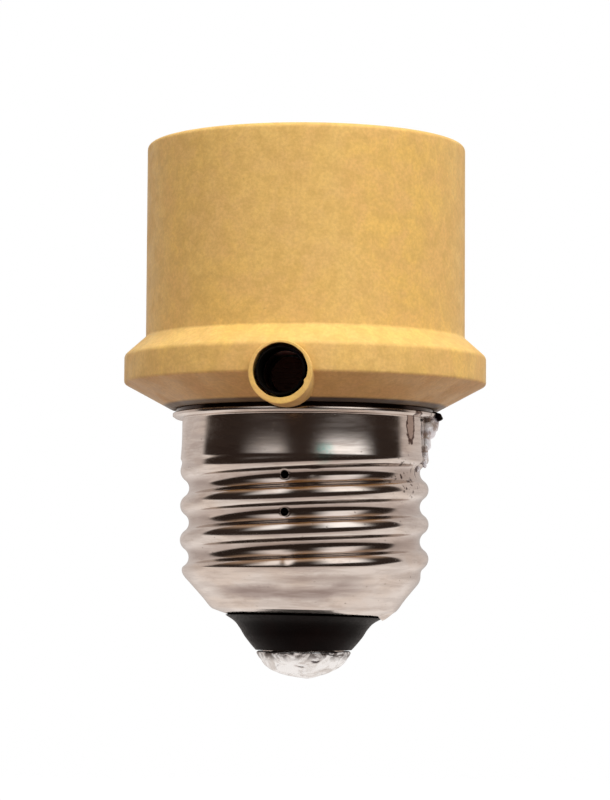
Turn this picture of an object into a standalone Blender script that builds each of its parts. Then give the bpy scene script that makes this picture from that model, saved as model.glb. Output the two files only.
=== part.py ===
"""Photocell light socket: a screw base below, a lamp cup above, and a light sensor in the flange between.

Lengths are in metres. The origin is on the axis at the bottom of the tip, +Z runs up the axis to the lamp,
and the sensor tube points along -Y.
"""

import math

import bmesh
import bpy
from mathutils import Matrix, Vector

# Fits
FIT = 0.0003
OVERRUN = 0.001
MERGE = 0.00001
LARGEST_FILLET_SHARE = 0.48

# Screw thread, seven turns to the inch
THREAD_PITCH = 0.003629
THREAD_DEPTH = 0.00092
SHELL_THICKNESS = 0.00035
SHELL_RADIUS = 0.01308
LAMP_CLEARANCE = 0.00022

# Tip
DOME_RADIUS = 0.00445
DOME_HEIGHT = 0.00165
EYELET_FLANGE_RADIUS = 0.00500
EYELET_FLANGE_THICKNESS = 0.00075
EYELET_BORE_RADIUS = 0.0012
EYELET_WALL = 0.0007
EYELET_CLINCH_WIDTH = 0.0009
EYELET_CLINCH_THICKNESS = 0.0004
EYELET_EDGE_ROUND = 0.00025

# Base insulator
NOSE_HEIGHT = 0.0033
NOSE_TIP_OVERHANG = 0.00005
NOSE_OVERHANG = 0.00007
NOSE_EDGE_HEIGHT = 0.00025
NOSE_CURVE_SHARES = ((0.0, 0.0), (0.16, 0.165), (0.37, 0.357), (0.58, 0.51), (0.77, 0.70), (1.0, 1.0))
INSULATOR_SEAT_HEIGHT = 0.0041
INSULATOR_WALL = 0.0013
INSULATOR_BOSS_WALL = 0.0012
INSULATOR_BOSS_RISE = 0.0013
INSULATOR_FLOOR = 0.0032

# Male screw shell
LIP_INSET = 0.00488
CONE_HEIGHT = 0.0050
CONE_CURVE_SHARES = ((0.80, 0.90), (0.58, 0.70), (0.34, 0.49), (0.14, 0.33), (0.08, 0.215), (0.0, 0.0))
SHELL_HEIGHT = 0.0213
COLLAR_HEIGHT = 0.0046
RIM_FLARE = 0.00087
RIM_FLARE_HEIGHT = 0.0006
RIM_FLARE_ROUND = 0.0004
MALE_CREST_OFFSET = 0.0013
MALE_CREST_TURN = math.radians(187.3)
MALE_FADE_TOP = 0.0016
MALE_FADE_BOTTOM = 0.0020
DIMPLE_RADIUS = 0.0005
DIMPLE_DEPTH = 0.0002
DIMPLE_TURN = math.radians(-92.2)
DIMPLE_PITCHES_SHARES = (0.5, 1.5)

# Housing
CUP_WALL = 0.00165
CUP_HEIGHT = 0.0207
CUP_RIM_ROUND = 0.00075
CUP_ROOT_ROUND = 0.0004
FLANGE_OVERHANG = 0.00225
FLANGE_FOOT_MARGIN = 0.0002
FLANGE_LOWER_HEIGHT = 0.0024
FLANGE_BAND_HEIGHT = 0.0029
FLANGE_UPPER_HEIGHT = 0.0020
FLANGE_UPPER_ROUND = 0.0007
FLANGE_LOWER_ROUND = 0.0004
NECK_TO_INSULATOR = 0.00415
NECK_WALL = 0.0019
NECK_STEP_HEIGHT = 0.0010
BOARD_LEDGE_WIDTH = 0.0008
INSERT_LEDGE_HEIGHT = 0.0061

# Sensor tube
SENSOR_HEIGHT = 0.00265
SENSOR_TUBE_WALL = 0.00046
SENSOR_TUBE_PROUD = 0.0005
SENSOR_TUBE_TO_RIM = 0.0004
SHIELD_WALL = 0.0002
SHIELD_LENGTH = 0.0043
PHOTOCELL_RADIUS = 0.00195
PHOTOCELL_THICKNESS = 0.0018
PHOTOCELL_SETBACK = 0.0002
PHOTOCELL_EDGE_ROUND = 0.0003
PHOTOCELL_LEAD_SPACING = 0.0024
PHOTOCELL_LEAD_BEND = 0.00075

# Socket insert
INSERT_WALL = 0.00095
INSERT_RIM_SETBACK = 0.0010
INSERT_SHOULDER = 0.0014
INSERT_EDGE_ROUND = 0.0003
WELL_WALL = 0.0012
WELL_DEPTH = 0.0045

# Female screw shell
SOCKET_TOP_SETBACK = 0.0016
SOCKET_PLAIN_TOP = 0.0012
SOCKET_PLAIN_FOOT = 0.0016
SOCKET_FOOT_ROUND = 0.0006
SOCKET_FOOT_MARGIN = 0.0008
SOCKET_FADE = 0.0014

# Centre contact
LEAF_THICKNESS = 0.00035
LEAF_WIDTH = 0.0046
LEAF_FOOT_LENGTH = 0.0033
LEAF_RISE = 0.0026
LEAF_TIP_DROP = 0.0006
LEAF_BEND_ROUND = 0.0008
LEAF_RIVET_TO_WALL = 0.0024
LEAF_TIP_TO_WALL = 0.0022
LEAF_SLOPE_SHARE = 0.55

# Rivets
RIVET_SHANK_RADIUS = 0.0006
RIVET_HEAD_RADIUS = 0.0011
RIVET_HEAD_THICKNESS = 0.0006
RIVET_TAIL_RADIUS = 0.0009
RIVET_TAIL_THICKNESS = 0.0005
RIVET_ROUND = 0.0003
SHELL_RIVET_TO_HOUSING = 0.00041

# Circuit board
BOARD_THICKNESS = 0.0012
BOARD_ROOM = 0.0028
LEAD_RADIUS = 0.0003
LEAD_STUB = 0.0008

# Parts below the board. A place is in shares of the neck's bore radius.
TRIAC_WIDTH = 0.0078
TRIAC_DEPTH = 0.0030
TRIAC_HEIGHT = 0.0100
TRIAC_EDGE = 0.0004
TRIAC_LEAD_SPACING = 0.0023
TRIAC_SHARES = (0.0, 0.53)
CAPACITOR_RADIUS = 0.0025
CAPACITOR_LENGTH = 0.0080
CAPACITOR_GROOVE = 0.00025
CAPACITOR_LEAD_SPACING = 0.0020
CAPACITOR_SHARES = (0.50, -0.12)
DROPPER_RADIUS = 0.0021
DROPPER_LENGTH = 0.0110
DROPPER_SHARES = (-0.54, -0.05)
DROPPER_LEAD_SHARES = (-0.25, -0.25)
RECTIFIER_RADIUS = 0.00135
RECTIFIER_LENGTH = 0.0050
RECTIFIER_SHARES = (-0.17, -0.65)
RECTIFIER_LEAD_SHARES = (0.02, -0.46)
GATE_RADIUS = 0.0011
GATE_LENGTH = 0.0062
GATE_SHARES = (0.22, -0.68)
GATE_LEAD_SHARES = (0.42, -0.72)
DIAC_RADIUS = 0.00095
DIAC_LENGTH = 0.0040
DIAC_SHARES = (-0.50, -0.60)
DIAC_LEAD_SHARES = (-0.68, -0.50)
END_ROUND_SHARE = 0.33

# Wires
WIRE_RADIUS = 0.00045
HOT_WIRE_SHARES = (0.0, 0.12)
LOAD_WIRE_SHARES = (-0.48, 0.34)
SHELL_WIRE_SHARES = (0.50, 0.76)
SHELL_WIRE_TURN_SHARES = (0.3, 0.7)
NEUTRAL_RADIUS = 0.00035
NEUTRAL_SLACK = 0.0009
NEUTRAL_TO_LIP = 0.0005
NEUTRAL_OVERHANG = 0.0001

# Side solder
SIDE_SOLDER_DEPTH = 0.0010
SIDE_SOLDER_WIDTH = 0.0018
SIDE_SOLDER_HEIGHT = 0.0025
SIDE_SOLDER_TAIL_SHARE = 1.6

# Facets
HOUSING_STEPS = 44
INSERT_STEPS = 36
MALE_STEPS = 30
FEMALE_STEPS = 24
SMALL_STEPS = 18
RIVET_STEPS = 10
HOLE_STEPS = 6
MALE_ROWS_PER_TURN = 6
FEMALE_ROWS_PER_TURN = 5
ROUTE_STEPS = 3
DOME_STEPS = 5
BEND_STEPS = 6
ARC_STEPS = 2
SHARP_ANGLE = math.radians(40)
QUARTER_TURN = math.radians(90)

# Heights worked out from the sizes, bottom to top
Z_EYELET = DOME_HEIGHT + FIT
Z_INSULATOR = Z_EYELET + EYELET_FLANGE_THICKNESS + FIT
Z_LIP = Z_INSULATOR + NOSE_HEIGHT + FIT
Z_RIM = Z_LIP + SHELL_HEIGHT
Z_THREAD_TOP = Z_RIM - RIM_FLARE_HEIGHT - COLLAR_HEIGHT
Z_THREAD_BOTTOM = Z_LIP + CONE_HEIGHT
Z_LIP_TOP = Z_LIP + SHELL_THICKNESS + FIT
Z_INSULATOR_TOP = Z_LIP_TOP + INSULATOR_SEAT_HEIGHT
Z_INSULATOR_FLOOR = Z_INSULATOR + INSULATOR_FLOOR
Z_INSULATOR_BOSS = Z_INSULATOR_FLOOR + INSULATOR_BOSS_RISE
Z_FLANGE = Z_RIM + FIT
Z_NECK = Z_INSULATOR_TOP + NECK_TO_INSULATOR
Z_NECK_STEP = Z_THREAD_TOP + MALE_FADE_TOP / 2
Z_BAND = Z_FLANGE + FLANGE_LOWER_HEIGHT
Z_BAND_TOP = Z_BAND + FLANGE_BAND_HEIGHT
Z_CUP = Z_BAND_TOP + FLANGE_UPPER_HEIGHT
Z_TOP = Z_CUP + CUP_HEIGHT
Z_SENSOR = Z_FLANGE + SENSOR_HEIGHT
Z_INSERT_LEDGE = Z_FLANGE + INSERT_LEDGE_HEIGHT
Z_SHOULDER = Z_INSERT_LEDGE + FIT
Z_SHOULDER_TOP = Z_SHOULDER + INSERT_SHOULDER
Z_WELL_FLOOR = Z_SHOULDER_TOP - WELL_DEPTH
Z_WELL_UNDER = Z_WELL_FLOOR - WELL_WALL
Z_INSERT_TOP = Z_TOP - INSERT_RIM_SETBACK
Z_SOCKET_FOOT = Z_SHOULDER_TOP + FIT
Z_SOCKET_TOP = Z_INSERT_TOP - SOCKET_TOP_SETBACK
Z_BOARD_TOP = Z_WELL_UNDER - BOARD_ROOM
Z_BOARD = Z_BOARD_TOP - BOARD_THICKNESS
Z_BOARD_LEDGE = Z_BOARD - FIT
Z_LEAF = Z_WELL_FLOOR + FIT

# Radii worked out from the sizes, axis outwards
EYELET_RADIUS = EYELET_BORE_RADIUS + EYELET_WALL
INSULATOR_BORE_RADIUS = EYELET_RADIUS + FIT
LIP_RADIUS = SHELL_RADIUS - LIP_INSET
NOSE_RADIUS = LIP_RADIUS + NOSE_OVERHANG
NOSE_TIP_RADIUS = EYELET_FLANGE_RADIUS + NOSE_TIP_OVERHANG
RIM_RADIUS = SHELL_RADIUS + RIM_FLARE
SOCKET_RADIUS = SHELL_RADIUS + LAMP_CLEARANCE
INSERT_BORE_RADIUS = SOCKET_RADIUS + SHELL_THICKNESS + FIT
INSERT_RADIUS = INSERT_BORE_RADIUS + INSERT_WALL
CUP_BORE_RADIUS = INSERT_RADIUS + FIT
CUP_RADIUS = CUP_BORE_RADIUS + CUP_WALL
FLANGE_RADIUS = CUP_RADIUS + FLANGE_OVERHANG
FOOT_RADIUS = RIM_RADIUS + FLANGE_FOOT_MARGIN
NECK_COLLAR_RADIUS = SHELL_RADIUS - SHELL_THICKNESS - FIT
NECK_RADIUS = NECK_COLLAR_RADIUS - THREAD_DEPTH
NECK_BORE_RADIUS = NECK_RADIUS - NECK_WALL
CHAMBER_RADIUS = NECK_BORE_RADIUS + BOARD_LEDGE_WIDTH
BOARD_RADIUS = CHAMBER_RADIUS - FIT
SHELL_RIVET_RADIUS = CHAMBER_RADIUS - SHELL_RIVET_TO_HOUSING - RIVET_TAIL_RADIUS
WELL_OUTER_RADIUS = SHELL_RIVET_RADIUS - RIVET_HEAD_RADIUS
WELL_RADIUS = WELL_OUTER_RADIUS - WELL_WALL
SOCKET_FOOT_RADIUS = WELL_RADIUS + SOCKET_FOOT_MARGIN
RIVET_HOLE_RADIUS = RIVET_SHANK_RADIUS + FIT
LEAD_HOLE_RADIUS = LEAD_RADIUS + FIT
LEAF_RIVET_PLACE = WELL_RADIUS - LEAF_RIVET_TO_WALL
LEAF_REACH = LEAF_RIVET_PLACE + WELL_RADIUS - LEAF_TIP_TO_WALL

# Places along the sensor tube, on -Y
PHOTOCELL_BORE_RADIUS = PHOTOCELL_RADIUS + FIT
SHIELD_RADIUS = PHOTOCELL_BORE_RADIUS + SHIELD_WALL
SENSOR_BORE_RADIUS = SHIELD_RADIUS + FIT
SENSOR_TUBE_RADIUS = SENSOR_BORE_RADIUS + SENSOR_TUBE_WALL
Y_TUBE_FACE = -(FLANGE_RADIUS + SENSOR_TUBE_PROUD)
Y_TUBE_BACK = -(FOOT_RADIUS + SENSOR_TUBE_TO_RIM)
Y_SHIELD_BACK = Y_TUBE_FACE + SHIELD_LENGTH
Y_SHIELD_SEAT = Y_SHIELD_BACK + FIT
Y_PHOTOCELL_BACK = -(CHAMBER_RADIUS + PHOTOCELL_SETBACK)
Y_PHOTOCELL = Y_PHOTOCELL_BACK - PHOTOCELL_THICKNESS

# Neutral wire, on +X
NEUTRAL_ROUTE_RADIUS = NECK_RADIUS - NEUTRAL_RADIUS
NEUTRAL_SLOT_RADIUS = NEUTRAL_ROUTE_RADIUS - NEUTRAL_RADIUS - FIT
NEUTRAL_SLOT_WIDTH = 2 * (NEUTRAL_RADIUS + FIT)
NEUTRAL_INNER_RADIUS = NECK_BORE_RADIUS - NEUTRAL_SLACK
Z_NEUTRAL = Z_RIM - NEUTRAL_TO_LIP


def clear_scene():
    for item in list(bpy.data.objects):
        bpy.data.objects.remove(item, do_unlink=True)


def new_collection(name):
    collection = bpy.data.collections.new(name)
    bpy.context.scene.collection.children.link(collection)
    return collection


def finish(name, colour, roughness, metallic=0.0):
    material = bpy.data.materials.new(name)
    material.use_nodes = True
    shader = material.node_tree.nodes["Principled BSDF"]
    shader.inputs["Base Color"].default_value = (*colour, 1.0)
    shader.inputs["Roughness"].default_value = roughness
    shader.inputs["Metallic"].default_value = metallic
    return material


def rounded(corners, arc_steps=ARC_STEPS):
    """The outline through corners (across, up, fillet), where each fillet becomes an arc."""
    outline = []
    for index, (across, up, fillet) in enumerate(corners):
        corner = Vector((across, up))
        if not fillet:
            outline.append(corner)
            continue
        before = Vector(corners[index - 1][:2]) - corner
        after = Vector(corners[(index + 1) % len(corners)][:2]) - corner
        half = before.angle(after) / 2
        most = LARGEST_FILLET_SHARE * min(before.length, after.length)
        cut = min(fillet / math.tan(half), most)
        radius = cut * math.tan(half)
        middle = (before.normalized() + after.normalized()).normalized()
        centre = corner + middle * radius / math.sin(half)
        start = corner + before.normalized() * cut - centre
        end = corner + after.normalized() * cut - centre
        turn = math.atan2(start.x * end.y - start.y * end.x, start.dot(end))
        for step in range(arc_steps + 1):
            outline.append(centre + Matrix.Rotation(turn * step / arc_steps, 2) @ start)
    return outline


def linked(name, mesh, collection, material=None):
    item = bpy.data.objects.new(name, mesh)
    collection.objects.link(item)
    if material:
        mesh.materials.append(material)
    if collection is CUTTERS:
        item.hide_render = True
        item.display_type = "WIRE"
    return item


def made_real(item):
    """Replaces the object's data by its evaluated mesh, welded and shaded smooth between its sharp edges."""
    bpy.context.view_layer.update()
    evaluated = item.evaluated_get(bpy.context.evaluated_depsgraph_get())
    mesh = bpy.data.meshes.new_from_object(evaluated)
    shape = bmesh.new()
    shape.from_mesh(mesh)
    bmesh.ops.remove_doubles(shape, verts=shape.verts, dist=MERGE)
    shape.to_mesh(mesh)
    shape.free()
    mesh.shade_smooth()
    mesh.set_sharp_from_angle(angle=SHARP_ANGLE)
    item.modifiers.clear()
    item.data = mesh
    return item


def turned(name, outline, steps, collection, material=None, closed=True):
    """The outline of (radius, height), down its outer side, turned about Z."""
    count = len(outline)
    edges = [(index, (index + 1) % count) for index in range(count if closed else count - 1)]
    mesh = bpy.data.meshes.new(name)
    mesh.from_pydata([(radius, 0.0, height) for radius, height in outline], edges, [])
    item = linked(name, mesh, collection, material)
    screw = item.modifiers.new("Turn", "SCREW")
    screw.steps = steps
    screw.render_steps = steps
    screw.use_merge_vertices = True
    screw.merge_threshold = MERGE
    return made_real(item)


def bar(name, radius, start, end, steps, collection=None):
    """A round bar between two points."""
    start = Vector(start)
    along = Vector(end) - start
    place = Matrix.Translation(start + along / 2) @ along.to_track_quat("Z", "Y").to_matrix().to_4x4()
    shape = bmesh.new()
    bmesh.ops.create_cone(
        shape, cap_ends=True, segments=steps, radius1=radius, radius2=radius, depth=along.length, matrix=place
    )
    mesh = bpy.data.meshes.new(name)
    shape.to_mesh(mesh)
    shape.free()
    return linked(name, mesh, collection or CUTTERS)


def block(name, lowest, highest, collection=None, material=None):
    """A box between its lowest and highest corners."""
    lowest = Vector(lowest)
    size = Vector(highest) - lowest
    shape = bmesh.new()
    bmesh.ops.create_cube(shape, size=1.0)
    bmesh.ops.scale(shape, vec=size, verts=shape.verts)
    bmesh.ops.translate(shape, vec=lowest + size / 2, verts=shape.verts)
    mesh = bpy.data.meshes.new(name)
    shape.to_mesh(mesh)
    shape.free()
    return linked(name, mesh, collection or CUTTERS, material)


def smooth_route(points):
    """Points along a smooth curve through the given ones."""
    points = [Vector(point) for point in points]
    padded = [2 * points[0] - points[1], *points, 2 * points[-1] - points[-2]]
    route = []
    for before, start, end, after in zip(padded, padded[1:], padded[2:], padded[3:]):
        for step in range(ROUTE_STEPS):
            share = step / ROUTE_STEPS
            route.append(
                start
                + (end - before) * (share / 2)
                + (2 * before - 5 * start + 4 * end - after) * (share**2 / 2)
                + (3 * start - 3 * end + after - before) * (share**3 / 2)
            )
    return [*route, points[-1]]


def wire(name, route, radius, collection, material=None):
    """A round wire along the route."""
    curve = bpy.data.curves.new(name, "CURVE")
    curve.dimensions = "3D"
    curve.bevel_depth = radius
    curve.bevel_resolution = 2
    curve.use_fill_caps = True
    spline = curve.splines.new("POLY")
    spline.points.add(len(route) - 1)
    for point, place in zip(spline.points, route):
        point.co = (*place, 1.0)
    return linked(name, curve, collection, material)


def meshed(item):
    """The curve object as a mesh object, welded, in its place."""
    bpy.context.view_layer.update()
    evaluated = item.evaluated_get(bpy.context.evaluated_depsgraph_get())
    mesh = bpy.data.meshes.new_from_object(evaluated)
    shape = bmesh.new()
    shape.from_mesh(mesh)
    bmesh.ops.remove_doubles(shape, verts=shape.verts, dist=MERGE)
    shape.to_mesh(mesh)
    shape.free()
    name = item.name
    home = item.users_collection[0]
    place = item.matrix_world.copy()
    bpy.data.objects.remove(item, do_unlink=True)
    fresh = linked(name, mesh, home)
    fresh.matrix_world = place
    return fresh


def combine(item, operation, *others):
    for other in others:
        boolean = item.modifiers.new(other.name, "BOOLEAN")
        boolean.operation = operation
        boolean.object = other
    return item


def eased(low, high, value):
    """0 below low, 1 above high, and a smooth step between them."""
    share = min(max((value - low) / (high - low), 0.0), 1.0)
    return share * share * (3 - 2 * share)


def press_thread(sheet, crest_height, crest_turn, bottom, bottom_fade, top, top_fade):
    """Presses a right-handed round thread into a turned sheet, crests left at the sheet's own radius."""
    for vertex in sheet.data.vertices:
        turn = math.atan2(vertex.co.y, vertex.co.x) - crest_turn
        phase = (vertex.co.z - crest_height) / THREAD_PITCH - turn / math.tau
        fade_in = eased(bottom, bottom + bottom_fade, vertex.co.z)
        fade_out = 1 - eased(top - top_fade, top, vertex.co.z)
        pressed = THREAD_DEPTH * fade_in * fade_out * (0.5 - 0.5 * math.cos(math.tau * phase))
        share = 1 - pressed / math.hypot(vertex.co.x, vertex.co.y)
        vertex.co.x *= share
        vertex.co.y *= share


def thicken(sheet, outward):
    solid = sheet.modifiers.new("Sheet", "SOLIDIFY")
    solid.thickness = SHELL_THICKNESS
    solid.offset = 1.0 if outward else -1.0
    solid.use_even_offset = True
    return sheet


def thread_rows(radius, top, bottom, rows_per_turn):
    rows = math.ceil((top - bottom) / THREAD_PITCH * rows_per_turn)
    return [(radius, top + (bottom - top) * row / rows) for row in range(rows + 1)]


def make_housing():
    """One moulding: cup, flange, sensor tube, and the neck that the screw shell is staked on."""
    section = rounded(
        [
            (CUP_RADIUS, Z_TOP, CUP_RIM_ROUND),
            (CUP_RADIUS, Z_CUP, CUP_ROOT_ROUND),
            (FLANGE_RADIUS, Z_BAND_TOP, FLANGE_UPPER_ROUND),
            (FLANGE_RADIUS, Z_BAND, FLANGE_LOWER_ROUND),
            (FOOT_RADIUS, Z_FLANGE, 0.0),
            (NECK_COLLAR_RADIUS, Z_FLANGE, 0.0),
            (NECK_COLLAR_RADIUS, Z_NECK_STEP + NECK_STEP_HEIGHT, 0.0),
            (NECK_RADIUS, Z_NECK_STEP, 0.0),
            (NECK_RADIUS, Z_NECK, 0.0),
            (NECK_BORE_RADIUS, Z_NECK, 0.0),
            (NECK_BORE_RADIUS, Z_BOARD_LEDGE, 0.0),
            (CHAMBER_RADIUS, Z_BOARD_LEDGE, 0.0),
            (CHAMBER_RADIUS, Z_INSERT_LEDGE, 0.0),
            (CUP_BORE_RADIUS, Z_INSERT_LEDGE, 0.0),
            (CUP_BORE_RADIUS, Z_TOP, 0.0),
        ]
    )
    housing = turned("housing", section, HOUSING_STEPS, PARTS, PLASTIC)
    tube = bar(
        "sensor_tube_outside",
        SENSOR_TUBE_RADIUS,
        (0.0, Y_TUBE_FACE, Z_SENSOR),
        (0.0, Y_TUBE_BACK, Z_SENSOR),
        INSERT_STEPS,
    )
    sleeve_bore = bar(
        "shield_bore",
        SENSOR_BORE_RADIUS,
        (0.0, Y_TUBE_FACE - OVERRUN, Z_SENSOR),
        (0.0, Y_SHIELD_SEAT, Z_SENSOR),
        INSERT_STEPS,
    )
    cell_bore = bar(
        "photocell_bore",
        PHOTOCELL_BORE_RADIUS,
        (0.0, Y_SHIELD_SEAT - OVERRUN, Z_SENSOR),
        (0.0, OVERRUN - CHAMBER_RADIUS, Z_SENSOR),
        SMALL_STEPS,
    )
    slot = block(
        "neutral_slot",
        (NEUTRAL_SLOT_RADIUS, -NEUTRAL_SLOT_WIDTH / 2, Z_NECK - OVERRUN),
        (NECK_COLLAR_RADIUS + OVERRUN, NEUTRAL_SLOT_WIDTH / 2, Z_FLANGE),
    )
    combine(housing, "UNION", tube)
    combine(housing, "DIFFERENCE", sleeve_bore, cell_bore, slot)


def facing_sensor(item, y_front):
    """Turns an object made about Z so that its +Z end faces out of the sensor tube, with z = 0 at y_front."""
    item.location = (0.0, y_front, Z_SENSOR)
    item.rotation_euler = (QUARTER_TURN, 0.0, 0.0)
    return item


def make_light_shield():
    section = [
        (SHIELD_RADIUS, 0.0),
        (SHIELD_RADIUS, -SHIELD_LENGTH),
        (PHOTOCELL_BORE_RADIUS, -SHIELD_LENGTH),
        (PHOTOCELL_BORE_RADIUS, 0.0),
    ]
    facing_sensor(turned("light_shield", section, SMALL_STEPS, PARTS, BLACK_SLEEVE), Y_TUBE_FACE)


def make_photocell():
    """A ceramic disc whose two leads turn down through the circuit board."""
    section = rounded(
        [
            (0.0, 0.0, 0.0),
            (PHOTOCELL_RADIUS, 0.0, PHOTOCELL_EDGE_ROUND),
            (PHOTOCELL_RADIUS, -PHOTOCELL_THICKNESS, 0.0),
            (0.0, -PHOTOCELL_THICKNESS, 0.0),
        ]
    )
    cell = facing_sensor(turned("photocell", section, SMALL_STEPS, PARTS, CERAMIC, closed=False), Y_PHOTOCELL)
    y_down = -math.sqrt((NECK_BORE_RADIUS - LEAD_HOLE_RADIUS) ** 2 - (PHOTOCELL_LEAD_SPACING / 2) ** 2)
    holes = []
    for side in (-1, 1):
        across = side * PHOTOCELL_LEAD_SPACING / 2
        route = [
            (across, Y_PHOTOCELL_BACK - PHOTOCELL_THICKNESS / 2, Z_SENSOR),
            (across, y_down - PHOTOCELL_LEAD_BEND, Z_SENSOR),
            (across, y_down, Z_SENSOR - PHOTOCELL_LEAD_BEND),
            (across, y_down, Z_BOARD - LEAD_STUB),
        ]
        lead = meshed(wire(f"photocell_lead_{side}", route, LEAD_RADIUS, CUTTERS))
        combine(cell, "UNION", lead)
        holes.append((across, y_down))
    return holes


def make_dimples(z_crest):
    """Balls that punch the two dimples into the thread's roots, above each other."""
    turns_on = (DIMPLE_TURN - MALE_CREST_TURN) % math.tau / math.tau
    ball_radius = (DIMPLE_RADIUS**2 + DIMPLE_DEPTH**2) / (2 * DIMPLE_DEPTH)
    reach = SHELL_RADIUS - THREAD_DEPTH - DIMPLE_DEPTH + ball_radius
    balls = []
    for pitches in DIMPLE_PITCHES_SHARES:
        shape = bmesh.new()
        bmesh.ops.create_icosphere(shape, subdivisions=2, radius=ball_radius)
        mesh = bpy.data.meshes.new("dimple")
        shape.to_mesh(mesh)
        shape.free()
        ball = linked("dimple", mesh, CUTTERS)
        height = z_crest + (turns_on - pitches) * THREAD_PITCH
        ball.location = (reach * math.cos(DIMPLE_TURN), reach * math.sin(DIMPLE_TURN), height)
        balls.append(ball)
    return balls


def make_screw_shell():
    """Rolled sheet: flared rim, collar, round thread, cone, and a lip turned in under the insulator."""
    outline = rounded(
        [
            (RIM_RADIUS, Z_RIM, 0.0),
            (SHELL_RADIUS, Z_RIM - RIM_FLARE_HEIGHT, RIM_FLARE_ROUND),
            (SHELL_RADIUS, Z_THREAD_TOP, 0.0),
        ]
    )[:-1]
    outline += thread_rows(SHELL_RADIUS, Z_THREAD_TOP, Z_THREAD_BOTTOM, MALE_ROWS_PER_TURN)
    for up, across in CONE_CURVE_SHARES:
        outline.append((LIP_RADIUS + across * LIP_INSET, Z_LIP + up * CONE_HEIGHT))
    shell = turned("screw_shell", outline, MALE_STEPS, PARTS, NICKEL, closed=False)
    z_crest = Z_THREAD_TOP - MALE_CREST_OFFSET
    press_thread(
        shell,
        z_crest,
        MALE_CREST_TURN,
        Z_THREAD_BOTTOM - MALE_FADE_BOTTOM / 2,
        MALE_FADE_BOTTOM,
        Z_NECK_STEP,
        MALE_FADE_TOP,
    )
    thicken(shell, outward=False)
    combine(shell, "DIFFERENCE", *make_dimples(z_crest))
    notch = block(
        "neutral_notch",
        (NECK_COLLAR_RADIUS, -NEUTRAL_SLOT_WIDTH / 2, Z_NEUTRAL - NEUTRAL_RADIUS - FIT),
        (RIM_RADIUS + OVERRUN, NEUTRAL_SLOT_WIDTH / 2, Z_RIM + OVERRUN),
    )
    combine(shell, "DIFFERENCE", notch)


def make_base_insulator():
    """Moulded cone that closes the screw shell and carries the eyelet, clasped by the shell's lip."""
    nose_reach = NOSE_RADIUS - NOSE_TIP_RADIUS
    nose_rise = NOSE_HEIGHT - NOSE_EDGE_HEIGHT
    groove_radius = LIP_RADIUS - 2 * FIT
    seat_radius = groove_radius + 2 * INSULATOR_WALL
    z_seat = Z_LIP_TOP + (seat_radius - LIP_RADIUS)
    boss_radius = INSULATOR_BORE_RADIUS + INSULATOR_BOSS_WALL
    outer = [
        (seat_radius, Z_INSULATOR_TOP),
        (seat_radius, z_seat),
        (LIP_RADIUS + FIT, Z_LIP_TOP + FIT),
        (groove_radius, Z_LIP_TOP),
        (groove_radius, Z_LIP - FIT),
    ]
    nose = [
        (NOSE_TIP_RADIUS + across * nose_reach, Z_INSULATOR + up * nose_rise)
        for up, across in reversed(NOSE_CURVE_SHARES)
    ]
    inner = [
        (INSULATOR_BORE_RADIUS, Z_INSULATOR),
        (INSULATOR_BORE_RADIUS, Z_INSULATOR_BOSS),
        (boss_radius, Z_INSULATOR_BOSS),
        (boss_radius, Z_INSULATOR_FLOOR),
        (groove_radius - INSULATOR_WALL, Z_INSULATOR_FLOOR),
        (seat_radius - INSULATOR_WALL, z_seat + INSULATOR_WALL),
        (seat_radius - INSULATOR_WALL, Z_INSULATOR_TOP),
    ]
    section = [*outer, (NOSE_RADIUS, Z_LIP - FIT), *nose, *inner]
    turned("base_insulator", section, FEMALE_STEPS, PARTS, BLACK_PLASTIC)


def make_tip():
    """Eyelet clinched over the insulator's boss, and the solder dome that closes it."""
    z_flange = Z_EYELET + EYELET_FLANGE_THICKNESS
    z_clinch = Z_INSULATOR_BOSS + FIT
    z_end = z_clinch + EYELET_CLINCH_THICKNESS
    clinch_radius = EYELET_RADIUS + EYELET_CLINCH_WIDTH
    eyelet = rounded(
        [
            (clinch_radius, z_end, 0.0),
            (clinch_radius, z_clinch, 0.0),
            (EYELET_RADIUS, z_clinch, 0.0),
            (EYELET_RADIUS, z_flange, 0.0),
            (EYELET_FLANGE_RADIUS, z_flange, EYELET_EDGE_ROUND),
            (EYELET_FLANGE_RADIUS - EYELET_EDGE_ROUND, Z_EYELET, EYELET_EDGE_ROUND),
            (EYELET_BORE_RADIUS, Z_EYELET, 0.0),
            (EYELET_BORE_RADIUS, z_end, 0.0),
        ]
    )
    turned("tip_contact", eyelet, SMALL_STEPS, PARTS, NICKEL)
    quarter = [QUARTER_TURN * step / DOME_STEPS for step in range(DOME_STEPS)]
    dome = [(0.0, DOME_HEIGHT)]
    dome += [(DOME_RADIUS * math.cos(angle), DOME_HEIGHT * (1 - math.sin(angle))) for angle in quarter]
    dome.append((0.0, 0.0))
    turned("tip_solder", dome, SMALL_STEPS, PARTS, SOLDER, closed=False)


def make_side_solder():
    """Drop of solder on the collar, below the wire's end."""
    shape = bmesh.new()
    bmesh.ops.create_icosphere(shape, subdivisions=2, radius=1.0)
    half_height = SIDE_SOLDER_HEIGHT / (1 + SIDE_SOLDER_TAIL_SHARE)
    for vertex in shape.verts:
        tail = SIDE_SOLDER_TAIL_SHARE if vertex.co.z < 0 else 1.0
        vertex.co.x *= SIDE_SOLDER_DEPTH / 2
        vertex.co.y *= SIDE_SOLDER_WIDTH / 2
        vertex.co.z *= half_height * tail
    mesh = bpy.data.meshes.new("side_solder")
    shape.to_mesh(mesh)
    shape.free()
    mesh.shade_smooth()
    solder = linked("side_solder", mesh, PARTS, SOLDER)
    z_highest = Z_NEUTRAL - 2 * NEUTRAL_RADIUS - FIT
    solder.location = (SHELL_RADIUS + FIT + SIDE_SOLDER_DEPTH / 2, 0.0, z_highest - half_height)


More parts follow.
